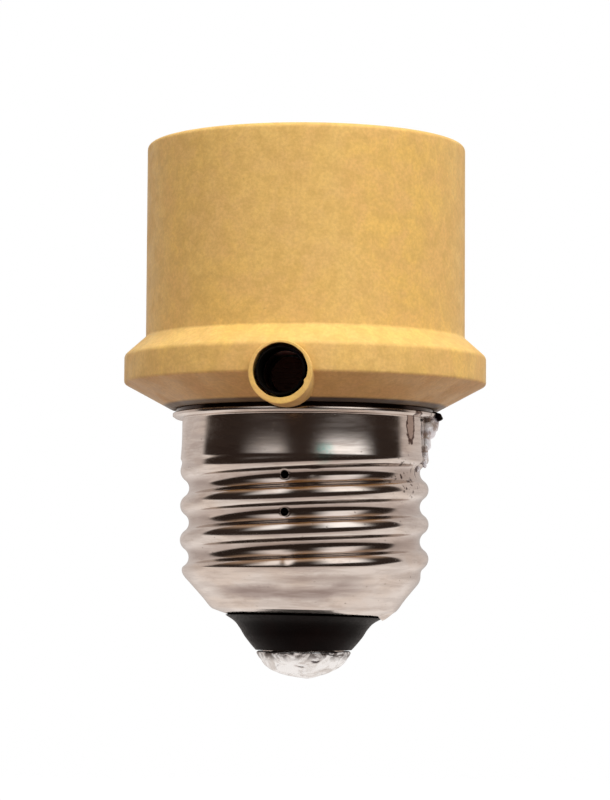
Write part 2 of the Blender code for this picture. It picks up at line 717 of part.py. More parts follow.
def make_socket_insert():
    """Moulded cup that holds the lamp's contacts, with a well under the centre contact."""
    section = rounded(
        [
            (INSERT_RADIUS, Z_INSERT_TOP, INSERT_EDGE_ROUND),
            (INSERT_RADIUS, Z_SHOULDER, 0.0),
            (WELL_OUTER_RADIUS, Z_SHOULDER, 0.0),
            (WELL_OUTER_RADIUS, Z_WELL_UNDER, 0.0),
            (0.0, Z_WELL_UNDER, 0.0),
            (0.0, Z_WELL_FLOOR, 0.0),
            (WELL_RADIUS, Z_WELL_FLOOR, 0.0),
            (WELL_RADIUS, Z_SHOULDER_TOP, 0.0),
            (INSERT_BORE_RADIUS, Z_SHOULDER_TOP, 0.0),
            (INSERT_BORE_RADIUS, Z_INSERT_TOP, INSERT_EDGE_ROUND),
        ],
        arc_steps=2,
    )
    last = section.index(Vector((0.0, Z_WELL_UNDER)))
    opened = section[last + 1 :] + section[: last + 1]
    insert = turned("socket_insert", opened, INSERT_STEPS, PARTS, WHITE_PLASTIC, closed=False)
    contact_hole = bar(
        "contact_rivet_hole",
        RIVET_HOLE_RADIUS,
        (-LEAF_RIVET_PLACE, 0.0, Z_WELL_UNDER - OVERRUN),
        (-LEAF_RIVET_PLACE, 0.0, Z_WELL_FLOOR + OVERRUN),
        RIVET_STEPS,
    )
    shell_hole = bar(
        "shell_rivet_hole",
        RIVET_HOLE_RADIUS,
        (0.0, SHELL_RIVET_RADIUS, Z_SHOULDER - OVERRUN),
        (0.0, SHELL_RIVET_RADIUS, Z_SOCKET_FOOT + OVERRUN),
        RIVET_STEPS,
    )
    combine(insert, "DIFFERENCE", contact_hole, shell_hole)
    return shell_hole


def make_socket_shell(rivet_hole):
    """Rolled sheet that the lamp screws into, with a foot turned in over the insert's shoulder."""
    z_foot = Z_SOCKET_FOOT + SHELL_THICKNESS
    z_thread_top = Z_SOCKET_TOP - SOCKET_PLAIN_TOP
    z_thread_bottom = z_foot + SOCKET_PLAIN_FOOT
    outline = [(SOCKET_RADIUS, Z_SOCKET_TOP)]
    outline += thread_rows(SOCKET_RADIUS, z_thread_top, z_thread_bottom, FEMALE_ROWS_PER_TURN)
    outline += rounded(
        [
            (SOCKET_RADIUS, z_thread_bottom, 0.0),
            (SOCKET_RADIUS, z_foot, SOCKET_FOOT_ROUND),
            (SOCKET_FOOT_RADIUS, z_foot, 0.0),
        ]
    )[1:]
    shell = turned("socket_shell", outline, FEMALE_STEPS, PARTS, BRASS, closed=False)
    press_thread(shell, z_thread_top, 0.0, z_thread_bottom, SOCKET_FADE, z_thread_top, SOCKET_FADE)
    thicken(shell, outward=True)
    combine(shell, "DIFFERENCE", rivet_hole)


def make_center_contact():
    """Brass leaf that springs about its riveted foot: the object's origin is on that line."""
    x_foot = LEAF_FOOT_LENGTH / 2
    x_slope = x_foot + (LEAF_REACH - x_foot) * LEAF_SLOPE_SHARE
    path = rounded(
        [
            (-LEAF_FOOT_LENGTH / 2, 0.0, 0.0),
            (x_foot, 0.0, LEAF_BEND_ROUND),
            (x_slope, LEAF_RISE, LEAF_BEND_ROUND),
            (LEAF_REACH, LEAF_RISE - LEAF_TIP_DROP, 0.0),
        ]
    )
    shape = bmesh.new()
    line = [shape.verts.new((across, -LEAF_WIDTH / 2, up)) for across, up in path]
    edges = [shape.edges.new(pair) for pair in zip(line, line[1:])]
    swept = bmesh.ops.extrude_edge_only(shape, edges=edges)["geom"]
    moved = [element for element in swept if isinstance(element, bmesh.types.BMVert)]
    bmesh.ops.translate(shape, vec=(0.0, LEAF_WIDTH, 0.0), verts=moved)
    mesh = bpy.data.meshes.new("center_contact")
    shape.to_mesh(mesh)
    shape.free()
    leaf = linked("center_contact", mesh, PARTS, BRASS)
    leaf.location = (-LEAF_RIVET_PLACE, 0.0, Z_LEAF + LEAF_THICKNESS / 2)
    solid = leaf.modifiers.new("Sheet", "SOLIDIFY")
    solid.thickness = LEAF_THICKNESS
    solid.offset = 0.0
    hole = bar(
        "leaf_hole",
        RIVET_HOLE_RADIUS,
        (-LEAF_RIVET_PLACE, 0.0, Z_LEAF - FIT),
        (-LEAF_RIVET_PLACE, 0.0, Z_LEAF + LEAF_THICKNESS + FIT),
        RIVET_STEPS,
    )
    combine(leaf, "DIFFERENCE", hole)


def make_rivet(name, place, z_head, z_tail):
    """Round head above z_head, shank, and a clinched tail below z_tail."""
    section = rounded(
        [
            (0.0, z_head + RIVET_HEAD_THICKNESS, 0.0),
            (RIVET_HEAD_RADIUS, z_head + RIVET_HEAD_THICKNESS, RIVET_ROUND),
            (RIVET_HEAD_RADIUS, z_head, 0.0),
            (RIVET_SHANK_RADIUS, z_head, 0.0),
            (RIVET_SHANK_RADIUS, z_tail, 0.0),
            (RIVET_TAIL_RADIUS, z_tail, 0.0),
            (RIVET_TAIL_RADIUS, z_tail - RIVET_TAIL_THICKNESS, RIVET_ROUND),
            (0.0, z_tail - RIVET_TAIL_THICKNESS, 0.0),
        ],
        arc_steps=2,
    )
    rivet = turned(name, section, RIVET_STEPS, PARTS, BRASS, closed=False)
    rivet.location = (*place, 0.0)


def upright_part(name, place, radius, length, lead_place, material):
    """A round part hung below the board by one lead, with its other lead folded back up to lead_place."""
    top = Z_BOARD - LEAD_STUB
    bottom = top - length
    end_round = radius * END_ROUND_SHARE
    body = rounded(
        [(0.0, top, 0.0), (radius, top, end_round), (radius, bottom, end_round), (0.0, bottom, 0.0)],
        arc_steps=2,
    )
    item = turned(name, body, RIVET_STEPS, PARTS, material, closed=False)
    item.location = (*place, 0.0)
    fold = bottom - LEAD_STUB
    z_end = Z_BOARD_TOP + LEAD_STUB
    route = [(*place, z_end), (*place, fold), (*lead_place, fold), (*lead_place, z_end)]
    combine(item, "UNION", meshed(wire(f"{name}_lead", route, LEAD_RADIUS, CUTTERS)))
    return [place, lead_place]


def make_capacitor(place):
    """Radial can with a crimped groove near its leads."""
    top = Z_BOARD - LEAD_STUB
    bottom = top - CAPACITOR_LENGTH
    groove = CAPACITOR_GROOVE
    neck = CAPACITOR_RADIUS - groove
    body = [
        (0.0, top),
        (neck, top),
        (CAPACITOR_RADIUS, top - groove),
        (CAPACITOR_RADIUS, top - 3 * groove),
        (neck, top - 4 * groove),
        (CAPACITOR_RADIUS, top - 5 * groove),
        (CAPACITOR_RADIUS, bottom + groove),
        (neck, bottom),
        (0.0, bottom),
    ]
    item = turned("timing_capacitor", body, SMALL_STEPS, PARTS, CAPACITOR_SLEEVE, closed=False)
    item.location = (*place, 0.0)
    holes = []
    for side in (-1, 1):
        across = place[0] + side * CAPACITOR_LEAD_SPACING / 2
        ends = [(across, place[1], height) for height in (top - CAPACITOR_RADIUS, Z_BOARD_TOP + LEAD_STUB)]
        combine(item, "UNION", bar(f"capacitor_lead_{side}", LEAD_RADIUS, *ends, HOLE_STEPS))
        holes.append((across, place[1]))
    return holes


def make_triac(place):
    """Flat moulded package hung by three leads."""
    top = Z_BOARD - 2 * LEAD_STUB
    x, y = place
    item = block(
        "triac",
        (x - TRIAC_WIDTH / 2, y - TRIAC_DEPTH / 2, top - TRIAC_HEIGHT),
        (x + TRIAC_WIDTH / 2, y + TRIAC_DEPTH / 2, top),
        PARTS,
        BLACK_PLASTIC,
    )
    bevel = item.modifiers.new("Edges", "BEVEL")
    bevel.width = TRIAC_EDGE
    bevel.segments = 1
    holes = []
    for side in (-1, 0, 1):
        across = x + side * TRIAC_LEAD_SPACING
        ends = [(across, y, level) for level in (top - TRIAC_DEPTH, Z_BOARD_TOP + LEAD_STUB)]
        combine(item, "UNION", bar(f"triac_lead_{side}", LEAD_RADIUS, *ends, HOLE_STEPS))
        holes.append((across, y))
    return holes


def ring(spline, centre, radius, steps):
    spline.points.add(steps - 1)
    for index, point in enumerate(spline.points):
        angle = math.tau * index / steps
        point.co = (centre[0] + radius * math.cos(angle), centre[1] + radius * math.sin(angle), 0.0, 1.0)
    spline.use_cyclic_u = True


def make_circuit_board(lead_holes, wire_holes):
    curve = bpy.data.curves.new("circuit_board", "CURVE")
    curve.dimensions = "2D"
    curve.fill_mode = "BOTH"
    curve.extrude = BOARD_THICKNESS / 2
    ring(curve.splines.new("POLY"), (0.0, 0.0), BOARD_RADIUS, INSERT_STEPS)
    for place in lead_holes:
        ring(curve.splines.new("POLY"), place, LEAD_HOLE_RADIUS, HOLE_STEPS)
    for place in wire_holes:
        ring(curve.splines.new("POLY"), place, WIRE_RADIUS + FIT, HOLE_STEPS)
    board = linked("circuit_board", curve, PARTS, BOARD)
    board.location = (0.0, 0.0, Z_BOARD + BOARD_THICKNESS / 2)


def make_hot_wire(place):
    """From the solder dome, through the eyelet, to the board."""
    x, y = place
    route = smooth_route(
        [
            (0.0, 0.0, Z_EYELET),
            (0.0, 0.0, Z_LIP),
            (0.0, 0.0, Z_THREAD_BOTTOM),
            (x / 2, y / 2, (Z_THREAD_BOTTOM + Z_BOARD) / 2),
            (x, y, Z_BOARD - LEAD_STUB),
            (x, y, Z_BOARD_TOP + LEAD_STUB),
        ]
    )
    wire("hot_wire", route, WIRE_RADIUS, PARTS, BLACK_SLEEVE)
    return place


def make_load_wire(place):
    """From the board to the centre contact's rivet."""
    x, y = place
    z_end = Z_WELL_UNDER - 2 * FIT - RIVET_TAIL_THICKNESS - WIRE_RADIUS
    route = smooth_route(
        [
            (x, y, Z_BOARD - LEAD_STUB),
            (x, y, Z_BOARD_TOP),
            (x, y / 2, z_end),
            (-LEAF_RIVET_PLACE, 0.0, z_end),
        ]
    )
    wire("load_wire", route, WIRE_RADIUS, PARTS, RED_SLEEVE)
    return place


def make_shell_wire(place):
    """From the board, up between the well and the housing, to the socket shell's rivet."""
    x, y = place
    z_end = Z_SHOULDER - 2 * FIT - RIVET_TAIL_THICKNESS - WIRE_RADIUS
    turn = math.atan2(y, x)
    reach = (WELL_OUTER_RADIUS + CHAMBER_RADIUS) / 2
    along = [turn + (QUARTER_TURN - turn) * share for share in SHELL_WIRE_TURN_SHARES]
    route = smooth_route(
        [
            (x, y, Z_BOARD - LEAD_STUB),
            (x, y, Z_BOARD_TOP),
            (reach * math.cos(along[0]), reach * math.sin(along[0]), (Z_WELL_UNDER + Z_SENSOR) / 2),
            (reach * math.cos(along[1]), reach * math.sin(along[1]), (Z_SENSOR + z_end) / 2),
            (0.0, SHELL_RIVET_RADIUS, z_end),
        ]
    )
    wire("shell_wire", route, WIRE_RADIUS, PARTS, WHITE_SLEEVE)
    return place


def make_neutral_wire():
    """From the board down the neck, round its end, up its slot and out over the screw shell's rim."""
    bend = (NEUTRAL_ROUTE_RADIUS - NEUTRAL_INNER_RADIUS) / 2
    x_middle = NEUTRAL_INNER_RADIUS + bend
    z_bend = Z_NECK - FIT - NEUTRAL_RADIUS + bend
    half_turn = [math.pi * (1 + step / BEND_STEPS) for step in range(BEND_STEPS + 1)]
    route = [(NEUTRAL_INNER_RADIUS, 0.0, Z_BOARD_TOP + LEAD_STUB)]
    route += [(x_middle + bend * math.cos(a), 0.0, z_bend + 2 * bend * math.sin(a)) for a in half_turn]
    corner = 2 * NEUTRAL_RADIUS
    x_end = RIM_RADIUS + NEUTRAL_OVERHANG
    route += [
        (NEUTRAL_ROUTE_RADIUS, 0.0, Z_NEUTRAL - corner),
        (NEUTRAL_ROUTE_RADIUS + corner / 3, 0.0, Z_NEUTRAL - corner / 3),
        (NEUTRAL_ROUTE_RADIUS + corner, 0.0, Z_NEUTRAL),
        (x_end, 0.0, Z_NEUTRAL),
    ]
    wire("neutral_wire", route, NEUTRAL_RADIUS, PARTS, TINNED)
    return (NEUTRAL_INNER_RADIUS, 0.0)


def on_board(place_shares):
    return tuple(share * NECK_BORE_RADIUS for share in place_shares)


def make_electronics():
    """The board, what hangs below it, and the wires that leave it."""
    lead_holes = make_photocell()
    lead_holes += make_triac(on_board(TRIAC_SHARES))
    lead_holes += make_capacitor(on_board(CAPACITOR_SHARES))
    for name, material, radius, length, place, lead_place in (
        ("dropper_resistor", RESISTOR, DROPPER_RADIUS, DROPPER_LENGTH, DROPPER_SHARES, DROPPER_LEAD_SHARES),
        ("rectifier", DIODE, RECTIFIER_RADIUS, RECTIFIER_LENGTH, RECTIFIER_SHARES, RECTIFIER_LEAD_SHARES),
        ("gate_resistor", RESISTOR, GATE_RADIUS, GATE_LENGTH, GATE_SHARES, GATE_LEAD_SHARES),
        ("diac", GLASS_DIAC, DIAC_RADIUS, DIAC_LENGTH, DIAC_SHARES, DIAC_LEAD_SHARES),
    ):
        lead_holes += upright_part(name, on_board(place), radius, length, on_board(lead_place), material)
    wire_holes = [
        make_hot_wire(on_board(HOT_WIRE_SHARES)),
        make_load_wire(on_board(LOAD_WIRE_SHARES)),
        make_shell_wire(on_board(SHELL_WIRE_SHARES)),
        make_neutral_wire(),
    ]
    make_circuit_board(lead_holes, wire_holes)


clear_scene()
PARTS = new_collection("photocell_light_socket")
CUTTERS = new_collection("cutters")

PLASTIC = finish("moulded_plastic", (0.69, 0.45, 0.14), 0.55)
BLACK_PLASTIC = finish("black_plastic", (0.02, 0.017, 0.015), 0.4)
WHITE_PLASTIC = finish("white_plastic", (0.75, 0.73, 0.68), 0.5)
NICKEL = finish("nickel_plate", (0.72, 0.68, 0.64), 0.22, 1.0)
BRASS = finish("brass", (0.72, 0.52, 0.22), 0.3, 1.0)
SOLDER = finish("solder", (0.78, 0.78, 0.77), 0.3, 1.0)
TINNED = finish("tinned_wire", (0.6, 0.58, 0.55), 0.35, 1.0)
BLACK_SLEEVE = finish("black_sleeve", (0.015, 0.013, 0.012), 0.6)
RED_SLEEVE = finish("red_sleeve", (0.5, 0.03, 0.02), 0.5)
WHITE_SLEEVE = finish("white_sleeve", (0.8, 0.8, 0.78), 0.5)
CERAMIC = finish("photocell_ceramic", (0.55, 0.3, 0.16), 0.5)
BOARD = finish("board_laminate", (0.45, 0.3, 0.12), 0.6)
RESISTOR = finish("resistor_coating", (0.62, 0.5, 0.33), 0.45)
DIODE = finish("diode_body", (0.03, 0.03, 0.03), 0.4)
GLASS_DIAC = finish("diac_body", (0.1, 0.2, 0.5), 0.25)
CAPACITOR_SLEEVE = finish("capacitor_sleeve", (0.03, 0.05, 0.15), 0.35)

make_housing()
make_light_shield()
make_screw_shell()
make_base_insulator()
make_tip()
make_side_solder()
make_socket_shell(make_socket_insert())
make_center_contact()
make_rivet(
    "contact_rivet", (-LEAF_RIVET_PLACE, 0.0), Z_LEAF + LEAF_THICKNESS + FIT, Z_WELL_UNDER - FIT
)
make_rivet("shell_rivet", (0.0, SHELL_RIVET_RADIUS), Z_SOCKET_FOOT + SHELL_THICKNESS + FIT, Z_SHOULDER - FIT)
make_electronics()
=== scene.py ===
"""Looks of the photocell light socket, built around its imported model.

Lengths are in metres, in the model's frame: +Z runs up the axis to the lamp, and the sensor tube points along -Y.
"""

import math

import bmesh
import bpy
import numpy as np
from mathutils import Matrix, Vector, noise


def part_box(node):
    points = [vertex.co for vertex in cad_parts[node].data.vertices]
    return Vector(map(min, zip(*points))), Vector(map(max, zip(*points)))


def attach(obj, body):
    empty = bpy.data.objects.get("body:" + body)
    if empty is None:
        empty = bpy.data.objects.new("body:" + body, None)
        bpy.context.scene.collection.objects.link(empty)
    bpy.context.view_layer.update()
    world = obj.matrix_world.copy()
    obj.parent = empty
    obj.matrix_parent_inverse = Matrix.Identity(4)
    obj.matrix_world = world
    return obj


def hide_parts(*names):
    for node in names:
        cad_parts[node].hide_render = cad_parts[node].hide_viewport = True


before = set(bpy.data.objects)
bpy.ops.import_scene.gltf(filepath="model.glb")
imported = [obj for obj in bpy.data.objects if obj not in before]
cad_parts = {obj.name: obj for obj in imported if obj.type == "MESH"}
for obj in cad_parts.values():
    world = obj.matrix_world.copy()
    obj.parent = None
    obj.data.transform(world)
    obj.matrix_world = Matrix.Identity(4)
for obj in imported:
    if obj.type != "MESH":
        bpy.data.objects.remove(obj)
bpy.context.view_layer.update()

# Camera, fitted to the photograph
FRAME_HEIGHT_PX = 800
FOCAL_PX = 2845.0
SENSOR_MM = 36.0
CAMERA_DISTANCE = 0.300
CAMERA_HEIGHT = 0.00824
CAMERA_TURN = math.radians(7.3)
CAMERA_ROLL = math.radians(0.345)
AIM_HEIGHT = 0.02932

# Studio. Turns are from the camera, to its right, and all angles here are in degrees.
FLOOR_HEIGHT = -0.030
FLOOR_RADIUS = 0.36
TABLE_EDGE_SLOPE = 0.7
PAPER_TURN = -3.8
RIGHT_BOX = ((18.0, 60.0, 14.0, 12.0), (8.5, 62.0, 3.5, 9.0))
LEFT_BOX = ((-50.0, -19.0, 16.0, 9.0), (8.5, 61.0, 3.5, 9.0))
LAMP_DISTANCE = 0.9
WHITE = (1.0, 1.0, 1.0)
LAMPS = (
    # name, turn, elevation, size, watts, colour
    ("key", 36.0, 38.0, (0.55, 0.45), 4.9, WHITE),
    ("top", 12.0, 74.0, (0.5, 0.5), 5.3, WHITE),
    ("left_fill", -50.0, 20.0, (0.45, 0.5), 1.5, (1.0, 0.95, 0.84)),
    ("right_fill", 78.0, -12.0, (0.4, 0.4), 0.95, WHITE),
)

# Fits
FIT = 0.0003
OVERRUN = 0.001
MERGE = 0.000002
GLUE_LINE = 0.00004
SHARP_ANGLE = math.radians(38)
SHEET_SHARP_ANGLE = math.radians(60)

# Screw shells
THREAD_PITCH = 0.003629
THREAD_DEPTH = 0.00092
THREAD_CREST_SHARE = 0.50
SHEET = 0.00035
RIM_FLARE = 0.00087
RIM_FLARE_HEIGHT = 0.0006
RIM_BEAD_DROP = 0.00042
RIM_RECESS = 0.00032
RIM_FOOT_DROP = 0.00059
RIM_ROUND = 0.00006
RIM_SECTION = (
    # inset from the rim's radius, height over the bead, rounding
    (RIM_RECESS, 0.00010, 0.0),
    (0.00002, 0.0, 0.0),
    (0.0, -0.00009, 0.0),
    (0.0, -0.00031, 0.00002),
    (RIM_RECESS, -0.00053, RIM_ROUND),
)
COLLAR_HEIGHT = 0.0046
COLLAR_WAIST = 0.00015
CONE_HEIGHT = 0.0050
CONE_CURVE_SHARES = ((0.80, 0.90), (0.58, 0.70), (0.34, 0.49), (0.14, 0.33), (0.08, 0.215), (0.0, 0.0))
LIP_INSET = 0.00488
LIP_TILT = 0.00025
LIP_TILT_TURN = math.radians(-130.0)
MALE_CREST_OFFSET = 0.0013
MALE_CREST_TURN = math.radians(187.3)
NOTCH_WIDTH = 0.0013
NOTCH_FOOT = 0.00115
SOCKET_PLAIN_TOP = 0.0012
SOCKET_PLAIN_FOOT = 0.0016
SOCKET_FOOT_ROUND = 0.0006
SOCKET_FOOT_MARGIN = 0.0008
SOCKET_FADE = 0.0014

# Marks on the male screw shell
DIMPLE_TURN = math.radians(-92.2)
DIMPLE_PITCHES = (0.44, 1.48)
DIMPLE_RADIUS = 0.00042
DIMPLE_DEPTH = 0.00042
DIMPLE_ZONE = 0.0006
DIMPLE_ARC = 0.05
BURR_TURN = math.radians(-4.0)
BURR_WIDTH = 0.0007
BURR_DEPTH = 0.00035
BURR_REACH = 0.0002
WAVE_SIZE = 0.0060
WAVE_DEPTH = 0.000014
SEAM_TURN = math.radians(-12.0)
SEAM_WIDTH = 0.00013
SEAM_DEPTH = 0.00006
SEAM_FOOT = 0.0210
FLUX_TURN = math.radians(-25.0)
FLUX_HEIGHT = 0.0262
FLUX_WIDTH = 0.00085
FLUX_LENGTH = 0.0019
FILM_TURN = math.radians(-74.6)
FILM_HEIGHT = 0.0232
# A painted reflection of the shade under the object, as a darker band on the front of the lower cone
SHADOW_REFLECTION_TURN = math.radians(-93.0)
SHADOW_REFLECTION_BAND = (0.0085, 0.0097)
SPATTER_TURN = math.radians(-27.0)
SPATTER_HEIGHT = 0.0208
DENTS = (
    # turn in degrees, height, size, depth
    (-78.0, 0.0212, 0.0005, 0.00006),
    (-91.0, 0.0122, 0.0005, 0.00007),
    (-128.0, 0.0094, 0.0009, 0.00008),
    (-30.0, 0.0150, 0.0008, 0.00006),
    (40.0, 0.0210, 0.0009, 0.00007),
    (120.0, 0.0125, 0.0007, 0.00006),
    (160.0, 0.0240, 0.0010, 0.00006),
)

# Housing and sensor
FLANGE_OVERHANG = 0.00225
FLANGE_FOOT_MARGIN = 0.0002
FLANGE_LOWER_HEIGHT = 0.0024
FLANGE_BAND_HEIGHT = 0.0029
FLANGE_UPPER_HEIGHT = 0.0020
FLANGE_UPPER_ROUND = 0.0007
FLANGE_LOWER_ROUND = 0.0004
FLANGE_FOOT_ROUND = 0.00012
CUP_RIM_ROUND = 0.0005
CUP_BORE_ROUND = 0.0002
CUP_ROOT_ROUND = 0.0004
NECK_WALL = 0.0019
NECK_STEP_RISE = 0.0008
NECK_STEP_HEIGHT = 0.001
WIRE_SLOT_FLOOR = 0.01046
SENSOR_HEIGHT = 0.00245
SENSOR_TUBE_DROP = 0.0002
SENSOR_TUBE_WALL = 0.00046
MOUTH_CHAMFER = 0.00024
MOUTH_ROUND = 0.00012
MOUTH_UNEVEN = 0.00005
FLASH_TURN = math.radians(-22.0)
FLASH_WIDTH = 0.00022
FLASH_DEPTH = 0.00016
SHIELD_WALL = 0.0002
SHIELD_LENGTH = 0.0043
SHIELD_SETBACK = 0.00008
SHIELD_RAGGED = 0.00010
SHIELD_FRAY = 0.00006
SHIELD_NICK = 0.00035
SHIELD_NICK_TURN = math.radians(340)
SHIELD_NICK_ARC = 0.07
PHOTOCELL_THICKNESS = 0.0018
PHOTOCELL_SETBACK = 0.0002
PHOTOCELL_ROUNDS = (0.0003, 0.00015)
LEAD_OFFSET = 0.0012
LEAD_RADIUS = 0.0003
LEAD_BEND = 0.00075
TRACK_MARGIN = 0.0004
TRACK_RADIUS = 0.00009
TRACK_ROWS = 6

# Insulator and tip
INSULATOR_SEAT_WIDTH = 0.0026
INSULATOR_WALL = 0.0013
INSULATOR_FLOOR = 0.0062
BOSS_TOP = 0.0075
BOSS_BORE_RADIUS = 0.0022
BOSS_RADIUS = 0.0034
NOSE_OVERHANG = 0.00007
NOSE_EDGE_HEIGHT = 0.00014
NOSE_TIP_RADIUS = 0.00505
NOSE_CURVE_SHARES = ((0.0, 0.0), (0.16, 0.165), (0.37, 0.357), (0.58, 0.51), (0.77, 0.70), (0.93, 1.0))
EYELET_RADII = {"clinch": 0.0028, "shank": 0.0019, "flange": 0.00430, "edge": 0.00415, "bore": 0.0012}
EYELET_CLINCH = 0.0004
EYELET_EDGE_DROP = 0.00042
EYELET_EDGE_ROUND = 0.00010
SKIRT_RADIUS = 0.00434
SKIRT_DROP = 0.00016
SKIRT_LIP = ((0.00478, 0.00006), (0.00494, -0.00004))
DOME_CURVE = (
    # height, radius
    (0.0, 0.0),
    (0.00003, 0.0005),
    (0.00018, 0.0013),
    (0.00047, 0.00237),
    (0.00079, 0.00316),
    (0.00110, 0.00369),
    (0.00142, 0.00408),
    (0.00173, 0.00436),
    (0.00205, 0.00459),
    (0.00236, 0.00482),
    (0.00262, 0.00496),
)
LUMP_DEPTH = 0.00010
CREASE_DEPTH = 0.00016
CREASE_SHARE = 0.12

# Side solder and neutral wire
SOLDER_LUMPS = (
    # turn in degrees, height, half width, half height, half depth
    (1.0, 0.02670, 0.00095, 0.00105, 0.00115),
    (-3.0, 0.02600, 0.00085, 0.00095, 0.00085),
    (-5.0, 0.02480, 0.00050, 0.00095, 0.00045),
    (-8.0, 0.02370, 0.00034, 0.00085, 0.00030),
    (-8.5, 0.02270, 0.00030, 0.00070, 0.00026),
    (-9.0, 0.02205, 0.00026, 0.00050, 0.00022),
)
SOLDER_VOXEL = 0.00006
SOLDER_UNEVEN = 0.00012
WIRE_RADIUS = 0.00035
WIRE_FROM_BORE = 0.0009
WIRE_ABOVE_BOARD = 0.0008
WIRE_UNDER_RIM = 0.0005

# Insert, contact leaf and rivets
WELL_RADIUS = 0.0068
WELL_DEPTH = 0.0045
WELL_WALL = 0.0012
INSERT_SHOULDER = 0.0014
INSERT_ROUND = 0.0003
INSERT_SHOULDER_ROUND = 0.0002
WELL_ROUND = 0.0004
RIVET_HOLE_RADIUS = 0.0009
RIVET_HEAD_RADIUS = 0.0011
RIVET_HEAD_THICKNESS = 0.0006
RIVET_SHANK_RADIUS = 0.0006
RIVET_TAIL_RADIUS = 0.0009
RIVET_TAIL_THICKNESS = 0.0005
LEAF_FOOT_LENGTH = 0.0033
LEAF_SLOPE_SHARE = 0.55
LEAF_BEND_ROUND = 0.0012
LEAF_TIP_DROP = 0.0006
LEAF_CORNERS = (0.0006, 0.0012)

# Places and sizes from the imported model
HOUSING_LOW, HOUSING_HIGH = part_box("housing")
SHELL_LOW, SHELL_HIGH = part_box("screw_shell")
INSULATOR_LOW, INSULATOR_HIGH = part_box("base_insulator")
EYELET_LOW, EYELET_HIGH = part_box("tip_contact")
TIP_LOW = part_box("tip_solder")[0]
INSERT_LOW, INSERT_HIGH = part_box("socket_insert")
SOCKET_LOW, SOCKET_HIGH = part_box("socket_shell")
LEAF_LOW, LEAF_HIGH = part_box("center_contact")
CELL_LOW, CELL_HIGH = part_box("photocell")
BOARD_LOW, BOARD_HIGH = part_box("circuit_board")

# Heights, bottom to top
Z_LIP = SHELL_LOW[2]
Z_RIM = SHELL_HIGH[2]
Z_FLARE = Z_RIM - RIM_FLARE_HEIGHT
Z_BEAD = Z_RIM - RIM_BEAD_DROP
Z_THREAD_TOP = Z_FLARE - COLLAR_HEIGHT
Z_THREAD_BOTTOM = Z_LIP + CONE_HEIGHT
Z_NECK_STEP = Z_THREAD_TOP + NECK_STEP_RISE
Z_CREST = Z_THREAD_TOP - MALE_CREST_OFFSET
Z_FLANGE = Z_RIM + FIT
Z_BAND = Z_FLANGE + FLANGE_LOWER_HEIGHT
Z_BAND_TOP = Z_BAND + FLANGE_BAND_HEIGHT
Z_CUP = Z_BAND_TOP + FLANGE_UPPER_HEIGHT
Z_TOP = HOUSING_HIGH[2]
Z_SENSOR = Z_FLANGE + SENSOR_HEIGHT
Z_WELL_FLOOR = INSERT_LOW[2] + WELL_WALL
Z_SHOULDER_TOP = Z_WELL_FLOOR + WELL_DEPTH
Z_SHOULDER = Z_SHOULDER_TOP - INSERT_SHOULDER
Z_INSERT_LEDGE = Z_SHOULDER - FIT

# Radii
RIM_RADIUS = -SHELL_LOW[0]
SHELL_RADIUS = RIM_RADIUS - RIM_FLARE
LIP_RADIUS = SHELL_RADIUS - LIP_INSET
FLANGE_RADIUS = HOUSING_HIGH[0]
CUP_RADIUS = FLANGE_RADIUS - FLANGE_OVERHANG
FOOT_RADIUS = RIM_RADIUS + FLANGE_FOOT_MARGIN
INSERT_RADIUS = INSERT_HIGH[0]
CUP_BORE_RADIUS = INSERT_RADIUS + FIT
SOCKET_RADIUS = SOCKET_HIGH[0] - SHEET
INSERT_BORE_RADIUS = SOCKET_RADIUS + SHEET + FIT
NECK_COLLAR_RADIUS = SHELL_RADIUS - SHEET - FIT
NECK_RADIUS = NECK_COLLAR_RADIUS - THREAD_DEPTH
NECK_BORE_RADIUS = NECK_RADIUS - NECK_WALL
CHAMBER_RADIUS = BOARD_HIGH[0] + FIT
PHOTOCELL_RADIUS = CELL_HIGH[0]
CELL_BORE_RADIUS = PHOTOCELL_RADIUS + FIT
SHIELD_RADIUS = CELL_BORE_RADIUS + SHIELD_WALL
SENSOR_BORE_RADIUS = SHIELD_RADIUS + FIT
SENSOR_TUBE_RADIUS = SENSOR_BORE_RADIUS + SENSOR_TUBE_WALL
Y_TUBE_FACE = HOUSING_LOW[1]
Y_TUBE_BACK = -(FOOT_RADIUS + 0.0004)
Y_SHIELD_SEAT = Y_TUBE_FACE + SHIELD_LENGTH + FIT


def eased(low, high, value):
    """0 below low, 1 above high, and a smooth step between them, for arrays too."""
    share = np.clip((value - low) / (high - low), 0.0, 1.0)
    return share * share * (3 - 2 * share)


def hump(away, width):
    """1 at away = 0, and near 0 beyond the width, for arrays too."""
    return np.exp(-((away / width) ** 2))


def rounded(*corners, arc_steps=6):
    """The outline through corners (across, up) or (across, up, fillet), where each fillet becomes an arc."""
    outline = []
    for index, (across, up, *fillet) in enumerate(corners):
        corner = Vector((across, up))
        if not any(fillet):
            outline.append(corner)
            continue
        before = Vector(corners[index - 1][:2]) - corner
        after = Vector(corners[(index + 1) % len(corners)][:2]) - corner
        half = before.angle(after) / 2
        cut = min(fillet[0] / math.tan(half), 0.48 * min(before.length, after.length))
        radius = cut * math.tan(half)
        middle = (before.normalized() + after.normalized()).normalized()
        centre = corner + middle * radius / math.sin(half)
        start = corner + before.normalized() * cut - centre
        end = corner + after.normalized() * cut - centre
        turn = math.atan2(start.x * end.y - start.y * end.x, start.dot(end))
        for step in range(arc_steps + 1):
            outline.append(centre + Matrix.Rotation(turn * step / arc_steps, 2) @ start)
    return outline


def divided(outline, longest, closed=True):
    """The same outline with no step longer than that."""
    points = []
    count = len(outline)
    for index in range(count if closed else count - 1):
        start, end = Vector(outline[index]), Vector(outline[(index + 1) % count])
        parts = max(1, math.ceil((end - start).length / longest))
        points += [start.lerp(end, part / parts) for part in range(parts)]
    return points if closed else [*points, Vector(outline[-1])]


